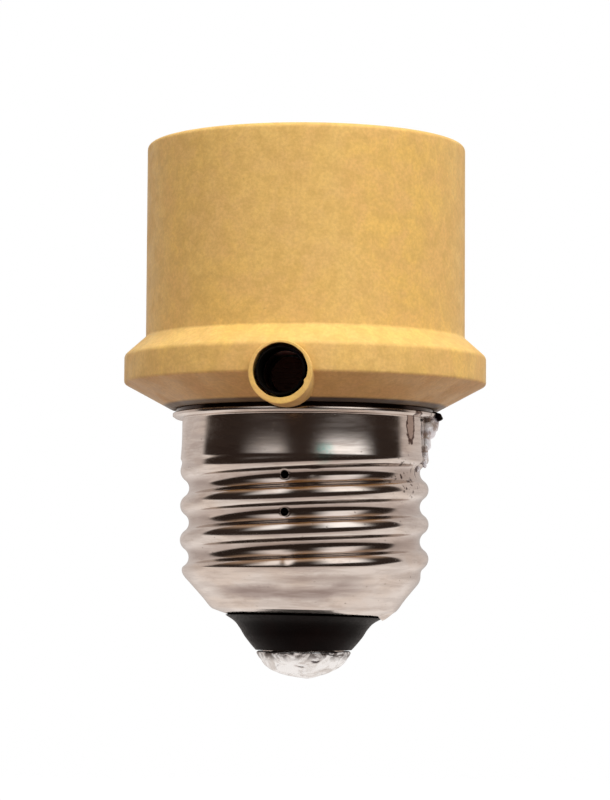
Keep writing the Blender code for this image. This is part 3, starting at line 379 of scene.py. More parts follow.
def smooth_route(points, steps=6):
    """Points along a smooth curve through the given ones."""
    points = [Vector(point) for point in points]
    padded = [2 * points[0] - points[1], *points, 2 * points[-1] - points[-2]]
    route = []
    for before, start, end, after in zip(padded, padded[1:], padded[2:], padded[3:]):
        for share in (step / steps for step in range(steps)):
            route.append(
                start
                + (end - before) * (share / 2)
                + (2 * before - 5 * start + 4 * end - after) * (share**2 / 2)
                + (3 * start - 3 * end + after - before) * (share**3 / 2)
            )
    return [*route, points[-1]]


def edited(mesh, change):
    """The mesh once change has worked on it as a bmesh."""
    shape = bmesh.new()
    shape.from_mesh(mesh)
    change(shape)
    shape.to_mesh(mesh)
    shape.free()
    return mesh


def weld(shape):
    """Welds the shape and turns its faces outwards."""
    bmesh.ops.remove_doubles(shape, verts=shape.verts, dist=MERGE)
    bmesh.ops.dissolve_degenerate(shape, edges=shape.edges, dist=MERGE)
    bmesh.ops.recalc_face_normals(shape, faces=shape.faces)


def grid_mesh(name, points, close_rows=False):
    """A mesh over rows of points that run round the axis. close_rows joins the last row to the first."""
    rows, columns = points.shape[:2]
    index = np.arange(rows * columns).reshape(rows, columns)
    if close_rows:
        index = np.vstack([index, index[:1]])
    here, right = index[:-1], np.roll(index[:-1], -1, axis=1)
    below, diagonal = index[1:], np.roll(index[1:], -1, axis=1)
    faces = np.stack([here, right, diagonal, below], axis=-1).reshape(-1, 4)
    mesh = bpy.data.meshes.new(name)
    mesh.from_pydata(points.reshape(-1, 3).tolist(), [], faces.tolist())
    return edited(mesh, weld)


def round_grid(radius, angle, height):
    """Points at the radii, angles and heights."""
    return np.stack(np.broadcast_arrays(radius * np.cos(angle), radius * np.sin(angle), height), axis=-1)


def turned(name, outline, steps, closed=True):
    """The outline of (radius, height) turned about Z."""
    outline = np.array([tuple(point) for point in outline])
    angle = np.linspace(0.0, math.tau, steps, endpoint=False)
    return grid_mesh(name, round_grid(outline[:, :1], angle, outline[:, 1:]), closed)


def bar_mesh(radius, start, end, steps=48):
    """A round bar between two points."""
    start = Vector(start)
    along = Vector(end) - start
    place = Matrix.Translation(start + along / 2) @ along.to_track_quat("Z", "Y").to_matrix().to_4x4()
    size = {"segments": steps, "radius1": radius, "radius2": radius, "depth": along.length, "matrix": place}
    return edited(bpy.data.meshes.new("bar"), lambda shape: bmesh.ops.create_cone(shape, cap_ends=True, **size))


def placed(centre, size):
    """The matrix that scales a unit shape to the size and moves it to the centre."""
    return Matrix.Translation(centre) @ Matrix.Diagonal((*size, 1.0))


def block_mesh(lowest, highest):
    size = Vector(highest) - Vector(lowest)
    place = placed(Vector(lowest) + size / 2, size)
    return edited(bpy.data.meshes.new("block"), lambda shape: bmesh.ops.create_cube(shape, size=1.0, matrix=place))


def lump_mesh(centre, size):
    """A round lump with those half sizes."""
    ball = {"subdivisions": 4, "radius": 1.0, "matrix": placed(centre, size)}
    return edited(bpy.data.meshes.new("lump"), lambda shape: bmesh.ops.create_icosphere(shape, **ball))


def joined(name, meshes):
    """One mesh of several."""
    return edited(bpy.data.meshes.new(name), lambda shape: [shape.from_mesh(mesh) for mesh in meshes])


def wire_mesh(name, route, radius, sides=16):
    """A round wire along the route, with rounded ends."""
    route = [Vector(point) for point in route]
    tangents = [(b - a).normalized() for a, b in zip([route[0], *route[:-1]], [*route[1:], route[-1]])]
    across = tangents[0].orthogonal().normalized()
    rings = []
    for place, tangent in zip(route, tangents):
        across = (across - tangent * across.dot(tangent)).normalized()
        rings.append((place, tangent, across, radius))
    caps = [(0.94, 0.34), (0.77, 0.64), (0.5, 0.87), (0.0, 1.0)]
    ends = []
    for (place, tangent, across, _), side in ((rings[0], -1), (rings[-1], 1)):
        ends.append([(place + side * tangent * radius * out / 2, tangent, across, radius * in_) for in_, out in caps])
    rings = [*reversed(ends[0]), *rings, *ends[1]]
    angle = np.linspace(0.0, math.tau, sides, endpoint=False)[:, None]
    points = [
        np.array(place)
        + size * np.cos(angle) * np.array(across)
        + size * np.sin(angle) * np.array(tangent.cross(across))
        for place, tangent, across, size in rings
    ]
    return grid_mesh(name, np.array(points))


def object_of(mesh):
    """An object of the mesh's name."""
    item = bpy.data.objects.new(mesh.name, mesh)
    bpy.context.scene.collection.objects.link(item)
    return item


def applied(item):
    """Makes the object's modifiers part of its mesh."""
    bpy.context.view_layer.update()
    evaluated = item.evaluated_get(bpy.context.evaluated_depsgraph_get())
    mesh = bpy.data.meshes.new_from_object(evaluated)
    item.modifiers.clear()
    item.data = mesh
    return item


def carved(item, operation, *meshes):
    """Joins meshes to the object, or cuts them out of it."""
    tools = [object_of(mesh) for mesh in meshes]
    for tool in tools:
        boolean = item.modifiers.new("Carve", "BOOLEAN")
        boolean.operation = operation
        boolean.object = tool
    applied(item)
    for tool in tools:
        bpy.data.objects.remove(tool, do_unlink=True)
    return item


def thickened(item, offset):
    """Gives a sheet its metal's thickness, outwards at offset 1 and inwards at -1."""
    solid = item.modifiers.new("Sheet", "SOLIDIFY")
    solid.thickness = SHEET
    solid.offset = offset
    solid.use_even_offset = True
    return applied(item)


def piece(item, node, material, body="socket", sharp=SHARP_ANGLE):
    """Finishes a piece that stands for a node of the model."""
    item.data.materials.clear()
    item.data.materials.append(material)
    item.data.shade_smooth()
    item.data.set_sharp_from_angle(angle=sharp)
    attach(item, body)
    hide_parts(node)
    return item


class Shade:
    """A node tree, with short ways to add to it. A value is a number, a colour or a node's output."""

    def __init__(self, tree):
        self.tree = tree

    def plug(self, value, socket):
        """Links an output to the socket, or sets a constant there."""
        if isinstance(value, bpy.types.NodeSocket):
            self.tree.links.new(value, socket)
        elif isinstance(value, tuple) and len(value) < len(socket.default_value):
            socket.default_value = (*value, 1.0)
        else:
            socket.default_value = value

    def add(self, kind, inputs=None, **settings):
        """A node with those inputs and settings."""
        node = self.tree.nodes.new(kind)
        for key, value in settings.items():
            setattr(node, key, value)
        for key, value in (inputs or {}).items():
            self.plug(value, node.inputs[key])
        return node

    def maths(self, operation, *values):
        """The operation on the values, taken from left to right."""
        result = self.add("ShaderNodeMath", dict(enumerate(values[:2])), operation=operation).outputs[0]
        return self.maths(operation, result, *values[2:]) if len(values) > 2 else result

    def times(self, *values):
        return self.maths("MULTIPLY", *values)

    def plus(self, *values):
        return self.maths("ADD", *values)

    def length(self, *values):
        """The length of a line from its parts."""
        return self.maths("SQRT", self.plus(*[self.times(value, value) for value in values]))

    def place(self):
        return self.add("ShaderNodeTexCoord").outputs["Object"]

    def parts(self):
        """The X, Y and Z of the point on the object."""
        return self.add("ShaderNodeSeparateXYZ", {0: self.place()}).outputs

    def from_axis(self):
        """How far the point is from the axis."""
        return self.length(*self.parts()[:2])

    def turn(self):
        """The point's angle about the axis."""
        x, y, _ = self.parts()
        return self.maths("ARCTAN2", y, x)

    def scaled(self, value, low, high, to_low=0.0, to_high=1.0):
        """value from low..high to to_low..to_high, clamped, smooth at both ends."""
        inputs = {"Value": value, "From Min": low, "From Max": high, "To Min": to_low, "To Max": to_high}
        return self.add("ShaderNodeMapRange", inputs, interpolation_type="SMOOTHSTEP").outputs["Result"]

    def between(self, value, low, high, soft, soft_high=None):
        """1 where value is between low and high, with soft edges."""
        soft_high = soft_high or soft
        rise = self.scaled(value, low - soft, low + soft)
        return self.times(rise, self.scaled(value, high - soft_high, high + soft_high, 1.0, 0.0))

    def speckle(self, size, detail=4.0, roughness=0.55, stretch=(1.0, 1.0, 1.0), distortion=0.0):
        """Noise whose blotches are about that size, in metres."""
        mapped = self.add("ShaderNodeMapping", {"Vector": self.place(), "Scale": stretch}).outputs[0]
        inputs = {"Scale": 1 / size, "Detail": detail, "Roughness": roughness, "Distortion": distortion}
        return self.add("ShaderNodeTexNoise", {"Vector": mapped, **inputs}).outputs["Fac"]

    def patches(self, low, high, *noise, **more):
        """Noise stretched so that low is 0 and high is 1."""
        return self.scaled(self.speckle(*noise, **more), low, high)

    def near(self, turn, radius, height, full, gone):
        """1 within full of a point round the axis, 0 beyond gone."""
        centre = (radius * math.cos(turn), radius * math.sin(turn), height)
        away = self.add("ShaderNodeVectorMath", {0: self.place(), 1: centre}, operation="DISTANCE").outputs["Value"]
        return self.scaled(away, full, gone, 1.0, 0.0)

    def blended(self, share, first, second):
        """A colour that goes from first to second as share goes from 0 to 1."""
        return self.add("ShaderNodeMix", {0: share, 6: first, 7: second}, data_type="RGBA").outputs[2]

    def stained(self, colour, *stains):
        """The colour under stains of (share, strength, colour), the last one on top."""
        for share, strength, stain in stains:
            colour = self.blended(self.times(share, strength), colour, stain)
        return colour


class Finish(Shade):
    """A material's node tree."""

    def __init__(self, name):
        self.material = bpy.data.materials.new(name)
        self.material.use_nodes = True
        super().__init__(self.material.node_tree)
        self.shader = self.tree.nodes["Principled BSDF"]

    def made(self, colour, roughness, heights, others=None):
        """The material, once its inputs are set, with bump from (height, depth in metres) pairs."""
        bump = {}
        for height, depth in heights:
            bump = {"Height": height, "Distance": depth, "Strength": 1.0, **bump}
            bump = {"Normal": self.add("ShaderNodeBump", bump).outputs[0]}
        for name, value in {"Base Color": colour, "Roughness": roughness, **bump, **(others or {})}.items():
            self.plug(value, self.shader.inputs[name])
        return self.material


def common_finish(name, colour, second, roughness, grain=0.0004, depth=0.000004, specular=0.5):
    """A finish with blotchy colour, uneven gloss and a fine grain."""
    s = Finish(name)
    fine = s.speckle(grain)
    colour = s.blended(s.patches(0.3, 0.7, grain * 8), colour, second)
    gloss = s.scaled(fine, 0.3, 0.7, roughness * 0.8, roughness * 1.2)
    return s.made(colour, gloss, [(fine, depth)], {"Specular IOR Level": specular})


def moulded_plastic():
    """Yellow-beige thermoplastic: faint flow mottle, orange peel, and painted shade in the corner under the flange."""
    s = Finish("moulded_plastic")
    mottle = s.patches(0.40, 0.62, 0.0034, 5.0, 0.6)
    flow = s.patches(0.35, 0.65, 0.0120, 3.0, 0.5, (1.0, 1.0, 0.4), 0.6)
    # painted shade: foot and near_rim mark the corner under the flange, which goes near-black
    foot = s.scaled(s.parts()[2], Z_FLANGE + 0.00005, Z_FLANGE + 0.00042, 1.0, 0.0)
    near_rim = s.scaled(s.from_axis(), FOOT_RADIUS + 0.0005, FOOT_RADIUS + 0.0010, 1.0, 0.0)
    colour = s.stained(
        s.blended(mottle, (0.800, 0.510, 0.134), (0.765, 0.470, 0.152)),
        (flow, 0.45, (0.745, 0.508, 0.185)),
        (s.patches(0.42, 0.66, 0.0015, 3.0, 0.5), 0.60, (0.650, 0.410, 0.118)),
        (s.patches(0.30, 0.70, 0.00035, 3.0, 0.6), 0.36, (0.50, 0.30, 0.08)),
        (s.patches(0.75, 0.82, 0.0005, 2.0, 0.4), 0.30, (0.34, 0.21, 0.08)),
        (s.times(foot, near_rim), s.scaled(flow, 0.0, 1.0, 0.85, 1.0), (0.045, 0.026, 0.014)),
    )
    peel = s.speckle(0.0011, 3.0, 0.5)
    grain = s.speckle(0.00022, 2.0, 0.5)
    depth = {"Specular IOR Level": 0.42, "Subsurface Weight": 0.06, "Subsurface Scale": 1.0}
    depth["Subsurface Radius"] = (0.0012, 0.0007, 0.0003)
    gloss = s.scaled(mottle, 0.0, 1.0, 0.42, 0.54)
    return s.made(sensor_wall(s, colour), gloss, [(peel, 0.000045), (grain, 0.000008)], depth)


def sensor_wall(s, colour):
    """The wall between the black sleeve and the photocell: dull and near-black as painted shade, with a painted
    crescent of light at its upper side.
    """
    x, y, z = s.parts()
    up = s.plus(z, -Z_SENSOR)
    inside = s.scaled(s.length(x, up), CELL_BORE_RADIUS + 0.0001, CELL_BORE_RADIUS + 0.0004, 1.0, 0.0)
    inside = s.times(inside, s.scaled(y, -0.012, -0.010, 1.0, 0.0))
    # painted shade inside the bore, going over to a painted pale crescent of light at its upper side
    bore_shade_and_light = s.blended(s.scaled(s.plus(up, x), 0.0004, 0.0022), (0.060, 0.026, 0.014), (1.0, 0.58, 0.44))
    return s.blended(inside, colour, bore_shade_and_light)


def nickel_plate():
    """Rolled nickel-plated sheet: warm and cool clouds, rolling streaks, fine pits, the marks of its soldering, painted
    shade in the thread's roots and on the rim under the flange, and a painted reflection band on the lower cone.
    """
    s = Finish("nickel_plate")
    cloud = s.patches(0.38, 0.66, 0.0050, 3.0, 0.5, (1.0, 1.0, 1.6), 0.3)
    streak = s.patches(0.38, 0.66, 0.00045, 3.0, 0.6, (0.10, 0.10, 1.0))
    scuff = s.patches(0.50, 0.68, 0.0011, 4.0, 0.65, (0.22, 0.22, 1.0), 0.5)
    pits = s.patches(0.70, 0.78, 0.00035, 2.0, 0.5)
    # painted shade: root marks the thread's roots, which are darkened
    root = s.scaled(s.from_axis(), SHELL_RADIUS - THREAD_DEPTH, SHELL_RADIUS - THREAD_DEPTH / 3, 1.0, 0.0)
    root = s.times(root, s.scaled(s.parts()[2], Z_THREAD_BOTTOM, Z_THREAD_BOTTOM + 0.001))
    colour = s.stained(
        s.blended(cloud, (0.72, 0.660, 0.618), (0.69, 0.600, 0.535)),
        (streak, 0.42, (0.46, 0.400, 0.370)),
        (scuff, 0.30, (0.40, 0.310, 0.260)),
        (pits, 0.7, (0.12, 0.09, 0.07)),
        (root, 0.45, (0.34, 0.265, 0.235)),
        # painted reflection of the shade under the object, as a darker band
        (painted_shadow_reflection(s), s.scaled(streak, 0.0, 1.0, 0.75, 0.92), (0.30, 0.235, 0.215)),
        (oil_film(s), 1.0, (0.30, 0.62, 0.56)),
    )
    colour = s.stained(solder_marks_and_rim_shade(s, colour), (dimple_darkening(s), 1.0, (0.006, 0.005, 0.004)))
    gloss = s.plus(s.scaled(streak, 0.0, 1.0, 0.115, 0.160), s.scaled(cloud, 0.0, 1.0, 0.0, 0.035))
    dent = s.speckle(0.0030, 2.0, 0.45, (1.0, 1.0, 2.0))
    fine = s.speckle(0.00030, 3.0, 0.6, (0.12, 0.12, 1.0))
    return s.made(colour, gloss, [(dent, 0.000005), (fine, 0.0000012), (pits, -0.000005)], {"Metallic": 1.0})


def painted_shadow_reflection(s):
    """1 along the painted reflection of the shade under the object, a darker band on the front of the lower cone."""
    wander = s.scaled(s.speckle(0.006), 0.3, 0.7, -0.0003, 0.0003)
    band = s.between(s.plus(s.parts()[2], wander), *SHADOW_REFLECTION_BAND, 0.0004)
    off = s.maths("ABSOLUTE", s.plus(s.turn(), -SHADOW_REFLECTION_TURN))
    return s.times(band, s.scaled(off, 0.35, 0.95, 1.0, 0.0))


# Near-black inside the two dimples
def dimple_darkening(s):
    """1 inside the two dimples."""
    root = SHELL_RADIUS - THREAD_DEPTH - DIMPLE_DEPTH / 2
    reach = (0.70 * DIMPLE_RADIUS, 0.95 * DIMPLE_RADIUS)
    return s.maths("MAXIMUM", *[s.near(DIMPLE_TURN, root, height, *reach) for height in dimple_heights()])


def oil_film(s):
    """A faint blue-green film in one place on the collar."""
    spot = s.near(FILM_TURN, SHELL_RADIUS, FILM_HEIGHT, 0.0002, 0.0016)
    return s.times(spot, s.scaled(s.speckle(0.0008), 0.35, 0.65, 0.25, 0.75))


def solder_marks_and_rim_shade(s, colour):
    """The burnt tongue of flux by the solder, the sheet's dark seam, spatter, and painted shade on the rim under the
    flange.
    """
    z = s.parts()[2]
    turn = s.turn()
    ragged = s.scaled(s.speckle(0.0006), 0.0, 1.0, -0.30, 0.30)
    across = s.times(s.plus(turn, -FLUX_TURN), SHELL_RADIUS / FLUX_WIDTH)
    up = s.times(s.plus(z, -FLUX_HEIGHT), 1 / FLUX_LENGTH)
    away = s.plus(s.length(across, up), ragged)
    off_seam = s.times(s.plus(turn, -SEAM_TURN), SHELL_RADIUS / SEAM_WIDTH)
    off_seam = s.maths("ABSOLUTE", s.plus(off_seam, s.times(ragged, 2.5)))
    seam = s.times(s.scaled(off_seam, 0.5, 1.1, 1.0, 0.0), s.scaled(z, SEAM_FOOT - 0.0004, SEAM_FOOT + 0.0004))
    spatter = s.near(SPATTER_TURN, SHELL_RADIUS, SPATTER_HEIGHT, 0.0010, 0.0034)
    # painted shade: near-black on the rim above its bead, in the crevice under the flange
    painted_rim_shade = s.scaled(s.plus(z, s.times(ragged, 0.0002)), Z_BEAD, Z_BEAD + 0.00012)
    return s.stained(
        colour,
        (s.scaled(away, 0.90, 1.05, 1.0, 0.0), 0.75, (0.30, 0.195, 0.150)),
        (s.between(away, 0.74, 0.98, 0.10), 1.0, (0.060, 0.026, 0.016)),
        (seam, 0.9, (0.045, 0.028, 0.022)),
        (spatter, s.patches(0.60, 0.66, 0.0005, 2.0, 0.5), (0.055, 0.030, 0.022)),
        (painted_rim_shade, 1.0, (0.030, 0.017, 0.013)),
    )


def tin_solder(name, metallic, gloss, stain):
    """Soft solder: bright where it is smooth, dull where flux has dried on it, and darker in a band near the top where
    it meets the insulator.
    """
    s = Finish(name)
    flux = s.patches(0.46, 0.64, 0.0018, 5.0, 0.65, distortion=0.8)
    z = s.parts()[2]
    # darker in a band near the top of the tip, where it meets the insulator
    darkened = s.times(s.scaled(z, 0.0017, 0.0026), s.scaled(z, 0.004, 0.005, 1.0, 0.0))
    uneven = s.scaled(s.speckle(0.0011, 4.0, 0.6, distortion=0.6), 0.40, 0.60, 0.1, 0.95)
    colour = s.stained(s.blended(flux, (0.94, 0.96, 0.97), stain), (darkened, uneven, (0.075, 0.055, 0.048)))
    bumps = [(s.speckle(0.0010, 4.0, 0.6), 0.00005), (s.speckle(0.0002), 0.000006)]
    return s.made(colour, s.scaled(flux, 0.0, 1.0, *gloss), bumps, {"Metallic": metallic})


def burnt_wire():
    """Tinned wire whose end is black with burnt flux."""
    s = Finish("tinned_wire")
    blotch = s.patches(0.35, 0.65, 0.0012)
    darkened = s.scaled(s.parts()[0], RIM_RADIUS - 0.0008, RIM_RADIUS - 0.0004)
    colour = s.blended(darkened, s.blended(blotch, (0.62, 0.58, 0.55), (0.42, 0.39, 0.37)), (0.010, 0.007, 0.006))
    return s.made(colour, s.scaled(blotch, 0.0, 1.0, 0.26, 0.40), [(s.speckle(0.0003), 0.000004)], {"Metallic": 1.0})


def rolled_brass():
    """Brass sheet with a few tarnished clouds and rolling marks."""
    s = Finish("rolled_brass")
    tarnish = s.patches(0.36, 0.74, 0.0035, 5.0, 0.6, distortion=0.2)
    colour = s.blended(tarnish, (0.83, 0.62, 0.28), (0.70, 0.47, 0.20))
    bumps = [(s.speckle(0.0022), 0.00003), (s.speckle(0.0005, 3.0, 0.7, (1.0, 1.0, 8.0)), 0.000003)]
    return s.made(colour, s.scaled(tarnish, 0.0, 1.0, 0.22, 0.38), bumps, {"Metallic": 1.0})


def board_laminate():
    """Paper laminate, with woven fibres just showing."""
    s = Finish("board_laminate")
    fibres = s.speckle(0.0003, 3.0, 0.6, (1.0, 6.0, 1.0))
    colour = s.blended(s.patches(0.3, 0.7, 0.004), (0.40, 0.26, 0.10), (0.33, 0.20, 0.07))
    return s.made(s.stained(colour, (fibres, 0.4, (0.52, 0.38, 0.18))), 0.55, [(fibres, 0.000006)])


def make_housing(material):
    """One moulding: cup, flange, sensor tube, and the neck that the screw shell is staked on."""
    z_foot = Z_RIM + GLUE_LINE
    z_board = BOARD_LOW[2] - FIT
    z_end = HOUSING_LOW[2]
    section = rounded(
        (CUP_RADIUS, Z_TOP, CUP_RIM_ROUND),
        (CUP_RADIUS, Z_CUP, CUP_ROOT_ROUND),
        (FLANGE_RADIUS, Z_BAND_TOP, FLANGE_UPPER_ROUND),
        (FLANGE_RADIUS, Z_BAND, FLANGE_LOWER_ROUND),
        (FOOT_RADIUS, z_foot, FLANGE_FOOT_ROUND),
        (NECK_COLLAR_RADIUS, z_foot),
        (NECK_COLLAR_RADIUS, Z_NECK_STEP + NECK_STEP_HEIGHT),
        (NECK_RADIUS, Z_NECK_STEP),
        (NECK_RADIUS, z_end),
        (NECK_BORE_RADIUS, z_end),
        (NECK_BORE_RADIUS, z_board),
        (CHAMBER_RADIUS, z_board),
        (CHAMBER_RADIUS, Z_INSERT_LEDGE),
        (CUP_BORE_RADIUS, Z_INSERT_LEDGE),
        (CUP_BORE_RADIUS, Z_TOP, CUP_BORE_ROUND),
    )
    half_slot = NOTCH_WIDTH / 2
    item = object_of(turned("housing_moulding", divided(section, 0.0009), 240))
    carved(item, "UNION", tube_mesh())
    carved(
        item,
        "DIFFERENCE",
        bar_mesh(SENSOR_BORE_RADIUS, (0, Y_TUBE_FACE - OVERRUN, Z_SENSOR), (0, Y_SHIELD_SEAT, Z_SENSOR), 96),
        bar_mesh(CELL_BORE_RADIUS, (0, Y_SHIELD_SEAT - OVERRUN, Z_SENSOR), (0, OVERRUN - CHAMBER_RADIUS, Z_SENSOR), 64),
        block_mesh((WIRE_SLOT_FLOOR, -half_slot, z_end - OVERRUN), (NECK_COLLAR_RADIUS + OVERRUN, half_slot, Z_FLANGE)),
    )
    roughen_mouth(item.data)
    return piece(item, "housing", material)


def roughen_mouth(mesh):
    """Uneven edge round the sensor tube's mouth, with one burr of flash that stays clear of the sleeve."""
    for vertex in mesh.vertices:
        across, up = vertex.co.x, vertex.co.z - Z_SENSOR
        away = math.hypot(across, up)
        if vertex.co.y > Y_TUBE_FACE + FIT or abs(away - SENSOR_BORE_RADIUS) > MERGE:
            continue
        flash = FLASH_DEPTH * hump((math.atan2(up, across) - FLASH_TURN) * SENSOR_BORE_RADIUS, FLASH_WIDTH)
        uneven = MOUTH_UNEVEN * noise.noise(Vector((3 * across, 3 * up, 0.0)) / SENSOR_BORE_RADIUS)
        share = 1 - (flash + uneven) / away
        vertex.co.x = across * share
        vertex.co.z = Z_SENSOR + up * share


def facing_sensor(mesh, y_front, drop=0.0):
    """Turns a mesh made about Z so that its +Z end faces out of the sensor tube, with z = 0 at y_front."""
    mesh.transform(Matrix.Translation((0.0, y_front, Z_SENSOR - drop)) @ Matrix.Rotation(math.radians(90), 4, "X"))
    return mesh


def tube_mesh():
    """The sensor tube's outside, with softened edges at its mouth."""
    length = Y_TUBE_BACK - Y_TUBE_FACE
    outline = rounded(
        (0.0, 0.0),
        (SENSOR_TUBE_RADIUS - MOUTH_CHAMFER, 0.0),
        (SENSOR_TUBE_RADIUS, 0.0, MOUTH_ROUND),
        (SENSOR_TUBE_RADIUS, -length),
        (0.0, -length),
    )
    return facing_sensor(turned("tube", outline, 96, closed=False), Y_TUBE_FACE, SENSOR_TUBE_DROP)


def noise_round(angle, size, level):
    """Smooth noise over the angles."""
    return np.array([noise.noise(Vector((size * math.cos(a), size * math.sin(a), level))) for a in angle])


def make_shield(material):
    """Black sleeve, cut a little ragged at its open end."""
    rows = np.linspace(0.0, 1.0, 12)
    angle = np.linspace(0.0, math.tau, 144, endpoint=False)
    ragged = noise_round(angle, 3, 1.7)
    frayed = SHIELD_RAGGED * np.abs(ragged) + SHIELD_FRAY * np.abs(noise_round(angle, 14, 5.1))
    front = -SHIELD_SETBACK - frayed - SHIELD_NICK * hump(angle - SHIELD_NICK_TURN, SHIELD_NICK_ARC)
    walls = [(SHIELD_RADIUS, row) for row in rows] + [(CELL_BORE_RADIUS, row) for row in rows[::-1]]
    rings = [
        round_grid(radius * (1 + 0.008 * ragged * (1 - row)), angle, front + (-SHIELD_LENGTH - front) * row)
        for radius, row in walls
    ]
    mesh = facing_sensor(grid_mesh("shield_sleeve", np.array(rings), True), Y_TUBE_FACE)
    return piece(object_of(mesh), "light_shield", material)


def make_photocell(material):
    """Ceramic disc with its raised serpentine track and two leads."""
    front_round, back_round = PHOTOCELL_ROUNDS
    disc = rounded(
        (0.0, 0.0),
        (PHOTOCELL_RADIUS, 0.0, front_round),
        (PHOTOCELL_RADIUS, -PHOTOCELL_THICKNESS, back_round),
        (0.0, -PHOTOCELL_THICKNESS),
    )
    y_back = -(CHAMBER_RADIUS + PHOTOCELL_SETBACK)
    y_front = y_back - PHOTOCELL_THICKNESS
    y_down = -math.sqrt((NECK_BORE_RADIUS - 2 * LEAD_RADIUS) ** 2 - LEAD_OFFSET**2)
    meshes = [facing_sensor(turned("disc", disc, 72, closed=False), y_front)]
    for across in (-LEAD_OFFSET, LEAD_OFFSET):
        route = [
            (across, y_back - PHOTOCELL_THICKNESS / 2, Z_SENSOR),
            (across, y_back, Z_SENSOR),
            (across, y_down - LEAD_BEND, Z_SENSOR),
            (across, y_down - 0.0002, Z_SENSOR - 0.0002),
            (across, y_down, Z_SENSOR - LEAD_BEND),
            (across, y_down, BOARD_HIGH[2]),
            (across, y_down, CELL_LOW[2]),
        ]
        meshes.append(wire_mesh("lead", smooth_route(route), LEAD_RADIUS, 12))
    item = object_of(joined("photocell_disc", [*meshes, track_mesh(y_front)]))
    return piece(item, "photocell", material)


def track_mesh(y_front):
    """The light-sensitive track, a serpentine line raised a little from the disc."""
    reach = PHOTOCELL_RADIUS - TRACK_MARGIN
    points = []
    for row in range(TRACK_ROWS):
        up = reach * (0.8 - 1.6 * row / (TRACK_ROWS - 1))
        half = math.sqrt(reach**2 - up**2)
        sides = (-half, half) if row % 2 == 0 else (half, -half)
        points += [(side, y_front, Z_SENSOR + up) for side in sides]
    return wire_mesh("track", smooth_route(points, 4), TRACK_RADIUS, 8)


def shell_angles():
    """Steps round the male shell, finer at the dimples and exact at the notch for the neutral wire."""
    even = np.linspace(-math.pi, math.pi, 288, endpoint=False)
    dimple = DIMPLE_TURN + np.linspace(-DIMPLE_ARC, DIMPLE_ARC, 31)
    notch = np.array([-1, 1]) * math.asin(NOTCH_WIDTH / 2 / RIM_RADIUS)
    kept = [a for a in even if abs(a - DIMPLE_TURN) > DIMPLE_ARC + 0.005 and min(abs(a - notch)) > 0.012]
    return np.sort(np.concatenate([kept, dimple, notch]))


def dimple_heights():
    turns_on = (DIMPLE_TURN - MALE_CREST_TURN) % math.tau / math.tau
    return [Z_CREST + (turns_on - pitches) * THREAD_PITCH for pitches in DIMPLE_PITCHES]


def dented(radius, angle, height):
    """Radii with the two punched dimples and the small dents."""
    for z_place in dimple_heights():
        along = (angle - DIMPLE_TURN) * (SHELL_RADIUS - THREAD_DEPTH)
        away = np.hypot(along, height - z_place) / DIMPLE_RADIUS
        radius = radius - DIMPLE_DEPTH * np.sqrt(np.clip(1 - away**2, 0.0, 1.0))
        radius = radius + 0.00003 * hump(away - 1.12, 0.2)
    for turn, z_place, size, depth in DENTS:
        along = (angle - math.radians(turn)) * SHELL_RADIUS
        radius = radius - depth * hump(np.hypot(along, height - z_place), size)
    return radius


def waviness(angle, height, size, depth):
    """Smooth random unevenness over a grid of angles and heights."""
    places = round_grid(SHELL_RADIUS, angle, height) / size
    return depth * np.array([[noise.noise(Vector(place)) for place in row] for row in places])


def round_thread(phase):
    """Depth below the crest of a round thread: one arc over the crest, tangent to one in the root."""
    run = THREAD_PITCH / 2
    flank = 2 * math.atan(THREAD_DEPTH / run)
    crest_run = THREAD_CREST_SHARE * run
    crest_radius = crest_run / math.sin(flank)
    root_radius = (run - crest_run) / math.sin(flank)
    away = np.abs(phase - np.round(phase)) * THREAD_PITCH
    crest = crest_radius - np.sqrt(np.maximum(crest_radius**2 - away**2, 0.0))
    root = THREAD_DEPTH - root_radius + np.sqrt(np.maximum(root_radius**2 - (run - away) ** 2, 0.0))
    return np.where(away < crest_run, crest, root)


def pressed(angle, height, crest_height, crest_turn, fade_in, fade_out):
    """How deep a right-handed round thread is pressed in, over a grid of angles and heights."""
    phase = (height - crest_height) / THREAD_PITCH - (angle - crest_turn) / math.tau
    return round_thread(phase) * eased(*fade_in, height) * (1 - eased(*fade_out, height))


def male_thread(angle, height):
    """How deep the screw shell's thread is pressed in."""
    run_out = (Z_THREAD_BOTTOM - 0.0020, Z_THREAD_BOTTOM + 0.0004)
    run_in = (Z_THREAD_TOP - 0.0011, Z_THREAD_TOP + 0.0001)
    return pressed(angle, height, Z_CREST, MALE_CREST_TURN, run_out, run_in)


def shell_outline():
    """(radius, height) of the male shell's outside before its thread is rolled, from the rim down to the lip."""
    waist_radius = SHELL_RADIUS - COLLAR_WAIST
    z_waist = Z_FLARE - RIM_FLARE_HEIGHT
    flare = rounded(
        (RIM_RADIUS - RIM_RECESS, Z_RIM),
        *[(RIM_RADIUS - inset, Z_BEAD + up, fillet) for inset, up, fillet in RIM_SECTION],
        (waist_radius, Z_BEAD - RIM_FOOT_DROP, RIM_ROUND),
        (waist_radius, z_waist),
    )[:-1]
    share = np.linspace(0.0, 1.0, 36)
    collar = zip(SHELL_RADIUS - COLLAR_WAIST * (1 - share**3), z_waist + (Z_THREAD_TOP - z_waist) * share)
    rows = 30 * math.ceil((Z_THREAD_TOP - Z_THREAD_BOTTOM) / THREAD_PITCH)
    heights = list(np.linspace(Z_THREAD_TOP, Z_THREAD_BOTTOM, rows + 1)[1:])
    for z_place in dimple_heights():
        heights = [z for z in heights if abs(z - z_place) > DIMPLE_ZONE + 0.00002]
        heights += list(z_place + np.linspace(-DIMPLE_ZONE, DIMPLE_ZONE, 31))
    thread = [(SHELL_RADIUS, z) for z in sorted(heights, reverse=True)]
    cone = [(LIP_RADIUS + across * LIP_INSET, Z_LIP + up * CONE_HEIGHT) for up, across in CONE_CURVE_SHARES]
    cone = smooth_route([(SHELL_RADIUS, Z_THREAD_BOTTOM), *cone], 5)[1:]
    return np.array([tuple(point) for point in (*flare, *collar, *thread, *cone)])


